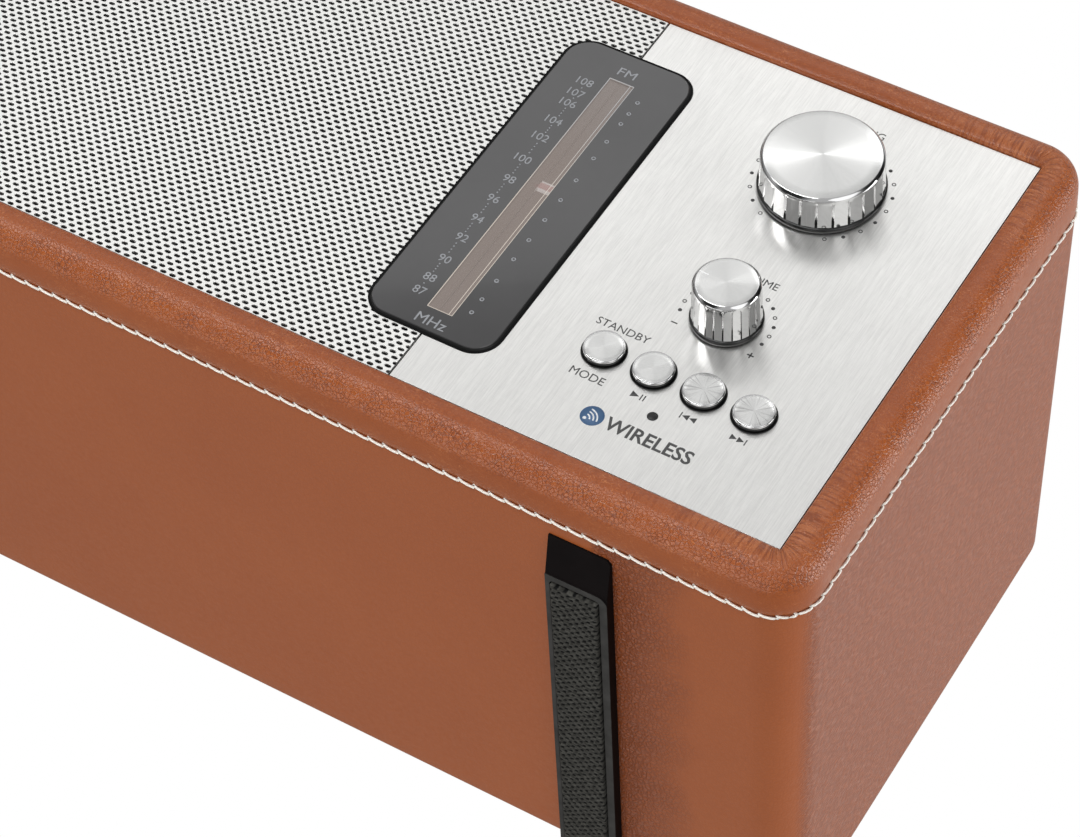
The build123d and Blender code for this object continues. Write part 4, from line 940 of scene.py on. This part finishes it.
class Print:
    """Flat lettering and marks on one face, this high above the panel."""

    def __init__(self, level):
        self.shape, self.level = Shape(), level

    def words(self, text, u, v, height, width=None, align="CENTER", bold=0.0):
        """Lettering of an exact cap height, centred on v, and centred on u or ending there."""
        curve = bpy.data.curves.new("lettering", "FONT")
        curve.body, curve.extrude, curve.resolution_u, curve.offset = text, 0.01, 3, bold
        written = put_in_scene("lettering", curve)
        bpy.context.view_layer.update()
        mesh = bpy.data.meshes.new_from_object(written.evaluated_get(bpy.context.evaluated_depsgraph_get()))
        points = [corner.co.copy() for corner in mesh.vertices]
        low_x, high_x = min(p.x for p in points), max(p.x for p in points)
        low_y, high_y = min(p.y for p in points), max(p.y for p in points)
        up = height / (high_y - low_y)
        across = width / (high_x - low_x) if width else up
        start = u - (high_x - low_x) * across * (0.5 if align == "CENTER" else 1.0)
        laid = []
        for p in points:
            lift = self.level + (ink_height if p.z > 0 else 0.0)
            laid.append(spot(start + (p.x - low_x) * across, v + (p.y - (low_y + high_y) / 2) * up, lift))
        self.shape.grow(laid, [tuple(face.vertices) for face in mesh.polygons])
        bpy.data.objects.remove(written)
        bpy.data.curves.remove(curve)
        bpy.data.meshes.remove(mesh)

    def patch(self, outline, hole=None):
        """A flat patch with straight or round outline, and a hole with as many points if it has one."""
        count = len(outline)
        top = [spot(u, v, self.level + ink_height) for u, v in outline]
        low = [spot(u, v, self.level) for u, v in outline]
        wall = [(k, (k + 1) % count, (k + 1) % count + count, k + count) for k in range(count)]
        if hole is None:
            self.shape.grow(top + low, [tuple(range(count))] + [tuple(reversed(w)) for w in wall])
            return
        inner = [spot(u, v, self.level + ink_height) for u, v in hole]
        faces = [tuple(reversed(w)) for w in wall]
        faces += [(k, (k + 1) % count, (k + 1) % count + 2 * count, k + 2 * count) for k in range(count)]
        self.shape.grow(top + low + inner, faces)

    def dot(self, u, v, radius, hole=0.0):
        """A filled or hollow dot."""
        outline = arc((u, v), radius, 0, 345, 23)
        self.patch(outline, arc((u, v), hole, 0, 345, 23) if hole else None)

    def bar(self, u, v, width, height):
        half, tall = width / 2, height / 2
        self.patch([(u - half, v - tall), (u + half, v - tall), (u + half, v + tall), (u - half, v + tall)])

    def triangle(self, u, v, width, height):
        """A triangle that points right, or left if its width is below nought."""
        points = [(u - width / 2, v - height / 2), (u + width / 2, v), (u - width / 2, v + height / 2)]
        self.patch(points if width > 0 else points[::-1])


def dot_ring(ink, u, v, radius, first, last, solid_first):
    """Dots every fifteen degrees round a knob, filled and hollow in turn."""
    count = abs(last - first) // 15
    for k in range(count + 1):
        turn = radians(first + (last - first) * k / count)
        size, hole = (0.62, 0.36) if (k % 2 == 0) != solid_first else (0.55, 0.0)
        ink.dot(u + radius * cos(turn), v + radius * sin(turn), size, hole)


ink = Print(0.0)
ink.words("TUNING", tuning_u + 0.2, 139.2, 2.5, 13.2)
dot_ring(ink, tuning_u, tuning_v, 19.7, 240, -60, False)
ink.words("VOLUME", volume_u, 76.5, 2.5, 13.8)
dot_ring(ink, volume_u, volume_v, 12.8, 195, -15, True)
minus, plus = radians(214.5), radians(-35)
ink.bar(volume_u + 14 * cos(minus), volume_v + 14 * sin(minus), 1.9, 0.38)
for width, height in ((2.0, 0.42), (0.42, 2.0)):
    ink.bar(volume_u + 14.2 * cos(plus), volume_v + 14.2 * sin(plus), width, height)
ink.words("STANDBY", 46.35, 43.65, 2.5, 15.9)
ink.words("MODE", 45.9, 25.5, 2.6, 10.2)
symbols_v = 25.95
for u in (61.9, 62.8, 73.8, 92.9):
    ink.bar(u, symbols_v, 0.32, 2.0)
ink.triangle(60.1, symbols_v, 2.3, 2.0)
for u, width in ((75.15, -1.9), (77.25, -1.9), (89.4, 1.9), (91.5, 1.9)):
    ink.triangle(u, symbols_v, width, 1.9)
ink.words("WIRELESS", 70.8, 14.4, 4.5, 25.6, bold=0.02)
ink.shape.piece("panel_lettering", panel_ink, "cabinet", "panel_print")

mark_u, mark_v = 53.9, 14.4
badge = Print(0.0)
badge.dot(mark_u, mark_v, 3.3)
badge.shape.piece("wireless_badge", mark_blue, "cabinet", "panel_print")
waves, source, wave_half = Print(ink_height), (mark_u - 1.5, mark_v - 1.5), 0.2
waves.dot(*source, 0.5)
for radius in (1.4, 2.4, 3.4):
    waves.patch(arc(source, radius + wave_half, 5, 85, 10) + arc(source, radius - wave_half, 85, 5, 10))
waves.shape.piece("wireless_waves", mark_white, "cabinet", "panel_print")

STATIONS = {
    108: 117.25, 107: 112.35, 106: 107.95, 104: 100.15, 102: 92.95, 100: 83.5, 98: 75.1,
    96: 66.7, 94: 58.3, 92: 50.35, 90: 41.5, 88: 34.0, 87: 28.75,
}
lens_proud = 0.8
dial = Print(lens_proud)
dial.words("FM", 0.07, 125.68, 2.9, 5.5)
dial.words("MHz", 0.48, 20.8, 3.3, 9.2)
numbers = sorted(STATIONS)
for number in numbers:
    v = STATIONS[number]
    dial.words(str(number), -6.37, v, 2.7, align="RIGHT")
    dial.dot(8.2, v, 0.68, 0.34)
for low, high in zip(numbers, numbers[1:]):
    dots = 1 if high - low == 1 else 4
    for k in range(dots):
        share = 0.5 if dots == 1 else 0.29 + 0.42 * k / (dots - 1)
        dial.dot(-8.46, STATIONS[low] + (STATIONS[high] - STATIONS[low]) * share, 0.24)
dial.shape.piece("dial_lettering", dial_ink, "cabinet", "dial_print")

# ---------------------------------------------------------------- light bar
def frame_strip(shape, u, v, width, height, radius, thick, low, high):
    """A thin frame round a rectangle, its outer sides given, standing from low to high."""
    loops = []
    for inset, level in ((0, low), (0, high), (thick, high), (thick, low)):
        bend = max(0.02, radius - inset)
        for turn, across, up in ((0, 1, 1), (90, -1, 1), (180, -1, -1), (270, 1, -1)):
            middle = (u + across * (width / 2 - inset - bend), v + up * (height / 2 - inset - bend))
            loops += [spot(x, y, level) for x, y in arc(middle, bend, turn, turn + 90, 12)]
    shape.grow(loops, [tuple(reversed(f)) for f in grid_faces(4, len(loops) // 4, False, True)])


# The slot's walls carry the light bar's painted glow, so no shade shows on them.
walls = Shape()
slot_left, slot_right = window_u - window_width / 2, window_u + window_width / 2
slot_low, slot_high = window_v - window_height / 2, window_v + window_height / 2
wall_top, wall_foot = lens_proud - 1.05, -3.55
wall_gap = 0.02
for a, b, c, d in (
    (slot_left + wall_gap, slot_low, slot_left + wall_gap, slot_high),
    (slot_left, slot_low + wall_gap, slot_right, slot_low + wall_gap),
    (slot_left, slot_high - wall_gap, slot_right, slot_high - wall_gap),
):
    walls.quad([spot(a, b, wall_top), spot(c, d, wall_top), spot(c, d, wall_foot), spot(a, b, wall_foot)])
walls.piece("light_bar_walls", light_bar, "cabinet", "frosted_acrylic")

# Painted highlights: thin glowing frames round the window and a glowing strip along its right side.
edges = Shape()
edge_width, edge_height, edge_foot = window_width - 0.02, window_height - 0.02, lens_proud - 0.3
frame_strip(edges, window_u, window_v, edge_width, edge_height, 0.1, 0.16, edge_foot, lens_proud + 0.03)
bead_left, bead_right = slot_right - 1.2, slot_right - 1.02
bead_low, bead_high = slot_low + 0.2, slot_high - 0.2
highlight_strip = ((bead_left, bead_low), (bead_right, bead_low), (bead_right, bead_high), (bead_left, bead_high))
edges.quad([spot(u, v, lens_proud + 0.02) for u, v in highlight_strip])
edges.piece("light_bar_edge_highlights", bar_edge_highlight, "cabinet", "frosted_acrylic")

gleam = Shape()
gleam_left, gleam_right, gleam_w = slot_left + 0.6, -0.52, -0.9
gleam_low, gleam_high = pointer_v - 1.3, pointer_v + 0.5
lower_edge, upper_edge = [
    [spot(u, v, gleam_w) for u in (gleam_left, gleam_right)] for v in (gleam_low, gleam_high)
]
gleam.quad(lower_edge + upper_edge[::-1], [(0, 0), (1, 0), (1, 1), (0, 1)])
gleam.piece("pointer_gleam", pointer_gleam, "dial_pointer", "pointer_plastic")

# ---------------------------------------------------------------- feet
dimple_depth = 0.45
for side in ("left", "right"):
    low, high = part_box(f"{side}_foot_pad")
    pad = Shape()
    across_steps, along_steps = 56, 440
    width, length = (high.x - low.x) / MM, (high.y - low.y) / MM
    corners = []
    for row in range(along_steps + 1):
        for column in range(across_steps + 1):
            across, along = width * column / across_steps, length * row / along_steps
            edge = min(across, width - across, along, length - along)
            sunk = dimple_depth * dimple(low.x / MM + across, low.y / MM + along) * min(1.0, edge / 0.5)
            rounding = 0.45 * max(0.0, 1 - edge / 0.6) ** 2
            corners.append((low.x + across * MM, low.y + along * MM, low.z + (sunk + rounding) * MM))
    count = len(corners)
    faces = [tuple(reversed(f)) for f in grid_faces(along_steps + 1, across_steps + 1)]
    border = list(range(across_steps + 1))
    border += [(across_steps + 1) * (k + 1) - 1 for k in range(1, along_steps + 1)]
    border += [(across_steps + 1) * along_steps + k for k in range(across_steps - 1, -1, -1)]
    border += [(across_steps + 1) * k for k in range(along_steps - 1, 0, -1)]
    corners += [(corners[k][0], corners[k][1], high.z) for k in border]
    around = len(border)
    for k in range(around):
        beyond = (k + 1) % around
        faces.append((border[k], border[beyond], count + beyond, count + k))
    faces.append(tuple(count + k for k in range(around)))
    pad.grow(corners, faces)
    pad.piece(f"{side}_pad_dimpled", pad_rubber, "cabinet", "foot_rubber", [f"{side}_foot_pad"], 60)

# ---------------------------------------------------------------- handle
grip_low, grip_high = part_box("handle_grip")
grip_centre = (grip_low + grip_high) / 2
grip_half = (grip_high.x - grip_low.x) / 2
grip_wide, grip_tall = (grip_high.y - grip_low.y) / 2, (grip_high.z - grip_low.z) / 2
grip = Shape()
grip_rows, grip_sides = 90, 48
corners, maps = [], []
for row in range(grip_rows + 1):
    share = 2 * row / grip_rows - 1
    end = max(0.0, abs(share) - 0.93) / 0.07
    swell = (0.84 + 0.16 * (1 - share**2)) * sqrt(max(0.0, 1 - (0.62 * end) ** 2))
    for k in range(grip_sides):
        turn = 2 * pi * k / grip_sides
        seam = 1 - 0.05 * max(0.0, 1 - abs((turn - 1.5 * pi) / 0.12))
        y, z = grip_wide * swell * cos(turn) * seam, grip_tall * swell * sin(turn) * seam
        corners.append(grip_centre + Vector((share * grip_half, y, z)))
        maps.append((share * grip_half, k / grip_sides * 0.05))
faces = grid_faces(grip_rows + 1, grip_sides, False, True) + end_caps(len(corners), grip_sides)
grip.grow(corners, faces, maps)
grip_piece = grip.piece("handle_leather_grip", handle_leather, "handle", "leather", ["handle_grip"], 60)

grip_stitches = Shape()
grip_count = int(2 * grip_half * 0.9 / (stitch_pitch * MM))
for line in (-1, 1):
    for number in range(grip_count):
        path = []
        for share, lift in STITCH:
            x = (number + share - grip_count / 2) * stitch_pitch * MM
            swell = 0.84 + 0.16 * (1 - (x / grip_half) ** 2)
            turn = 1.5 * pi + line * 0.30
            y, z = grip_wide * swell * cos(turn), grip_tall * swell * sin(turn) - (lift - 0.3) * MM
            path.append(grip_centre + Vector((x, y, z)))
        tube(grip_stitches, path, thread_radius * 0.8 * MM)
grip_stitches.piece("handle_stitching", white_thread, "handle", "thread")


# ---------------------------------------------------------------- floor, light and camera
def one_sided_floor():
    """A pale matt floor that isn't seen from below, where the camera of the main view is."""
    paint = Paint("pale_floor", (0.80, 0.80, 0.79), 0.9)
    below = paint.add("NewGeometry").outputs["Backfacing"]
    clear = paint.add("BsdfTransparent").outputs[0]
    choice = paint.add("MixShader", i0=below, i1=paint.shader.outputs[0], i2=clear)
    paint.put(paint.tree.nodes["Material Output"], Surface=choice.outputs[0])
    return paint.made


bpy.ops.mesh.primitive_plane_add(size=6.0, location=(0, 0, 0))
floor = bpy.context.object
floor.name = "floor"
floor.data.materials.append(one_sided_floor())
floor.visible_shadow = False
floor.visible_diffuse = False
floor.visible_glossy = False
floor.visible_transmission = False
floor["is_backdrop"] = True

world = bpy.data.worlds.new("studio")
bpy.context.scene.world = world
world.use_nodes = True
sky = Nodes(world.node_tree)
way = sky.add("TexCoord").outputs["Generated"]
room_levels = ((0.0, 0.0), (0.44, 0.0), (0.49, 0.10), (0.58, 0.26), (0.66, 0.62), (1.0, 0.66))
front_to_back = sky.math("MULTIPLY_ADD", sky.part(way, "Y"), -0.5, 0.5)
ramp = sky.add("ValToRGB", i0=front_to_back)
while len(ramp.color_ramp.elements) < len(room_levels):
    ramp.color_ramp.elements.new(0.5)
for element, (at, level) in zip(ramp.color_ramp.elements, room_levels):
    element.position, element.color = at, (level, level, level, 1.0)
behind = sky.remap(sky.part(way, "Y"), 0.02, 0.16)
height = sky.remap(sky.part(way, "Z"), -0.75, 0.65, 0.28, 0.66)
level = sky.math("ADD", ramp.outputs["Color"], sky.times(behind, height))
for middle, start, end in (((0.733, -0.373, 0.567), 0.74, 0.93), ((-0.374, -0.567, -0.734), 0.86, 0.96)):
    facing = sky.add("VectorMath", {"operation": "DOT_PRODUCT"}, i0=way, i1=Vector(middle).normalized())
    level = sky.times(level, sky.remap(facing.outputs["Value"], start, end, 1.0, 0.05))
room = sky.add("Background", Color=level).outputs[0]
backdrop = sky.tree.nodes["Background"]
sky.put(backdrop, Color=(1.0, 1.0, 1.0))
seen = sky.add("LightPath").outputs["Is Camera Ray"]
blend = sky.add("MixShader", i0=seen, i1=room, i2=backdrop.outputs[0])
sky.put(sky.tree.nodes["World Output"], Surface=blend.outputs[0])


panel_middle = spot(58, 75, 0)


def softbox(name, toward, distance, width, height, level, along=(1.0, 0.0, 0.0)):
    """A soft light of a level of brightness, in a direction (u, v, w) from the panel's middle, facing it.

    Its width lies along another direction.
    """
    out = Vector((toward[0], -toward[2], toward[1])).normalized()
    side = Vector((along[0], -along[2], along[1]))
    side = (side - out * side.dot(out)).normalized()
    lamp = bpy.data.lights.new(name, "AREA")
    lamp.shape, lamp.size, lamp.size_y, lamp.energy = "RECTANGLE", width, height, level * pi * width * height
    made = put_in_scene(name, lamp)
    turn = Matrix((side, out.cross(side), out)).transposed()
    made.matrix_world = Matrix.Translation(panel_middle + out * distance) @ turn.to_4x4()


softbox("strip", (-0.374, 0.640, 0.680), 1.5, 2.2, 0.32, 0.95, (0.819, 0.574, 0.0))
softbox("crest", (-0.374, -0.300, 0.877), 1.5, 1.6, 0.26, 8.0)
softbox("front_right", (0.75, -0.30, 0.59), 1.6, 1.0, 1.0, 1.1)
softbox("below", (-0.1, -0.94, 0.0), 1.7, 1.4, 1.2, 2.5)
softbox("right", (0.93, 0.33, -0.1), 1.7, 1.2, 0.9, 5.8, (0.0, 0.0, 1.0))
softbox("above", (0.10, 0.85, 0.52), 1.6, 0.9, 0.6, 1.5)

eye, target = spot(353.6, -459.8, 692.3), spot(42.5, 7.0, 0.0)
upward = Vector((-0.380, -0.628, 0.679))
backward = (eye - target).normalized()
rightward = upward.cross(backward).normalized()
lens = bpy.data.cameras.new("camera")
lens.lens, lens.sensor_width, lens.clip_start = 114.29, 36.0, 0.01
camera = put_in_scene("camera", lens)
turn = Matrix((rightward, backward.cross(rightward), backward)).transposed()
camera.matrix_world = Matrix.Translation(eye) @ turn.to_4x4()
bpy.context.scene.camera = camera
bpy.context.scene.view_settings.view_transform = "Standard"

# ---------------------------------------------------------------- size and the end
low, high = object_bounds()
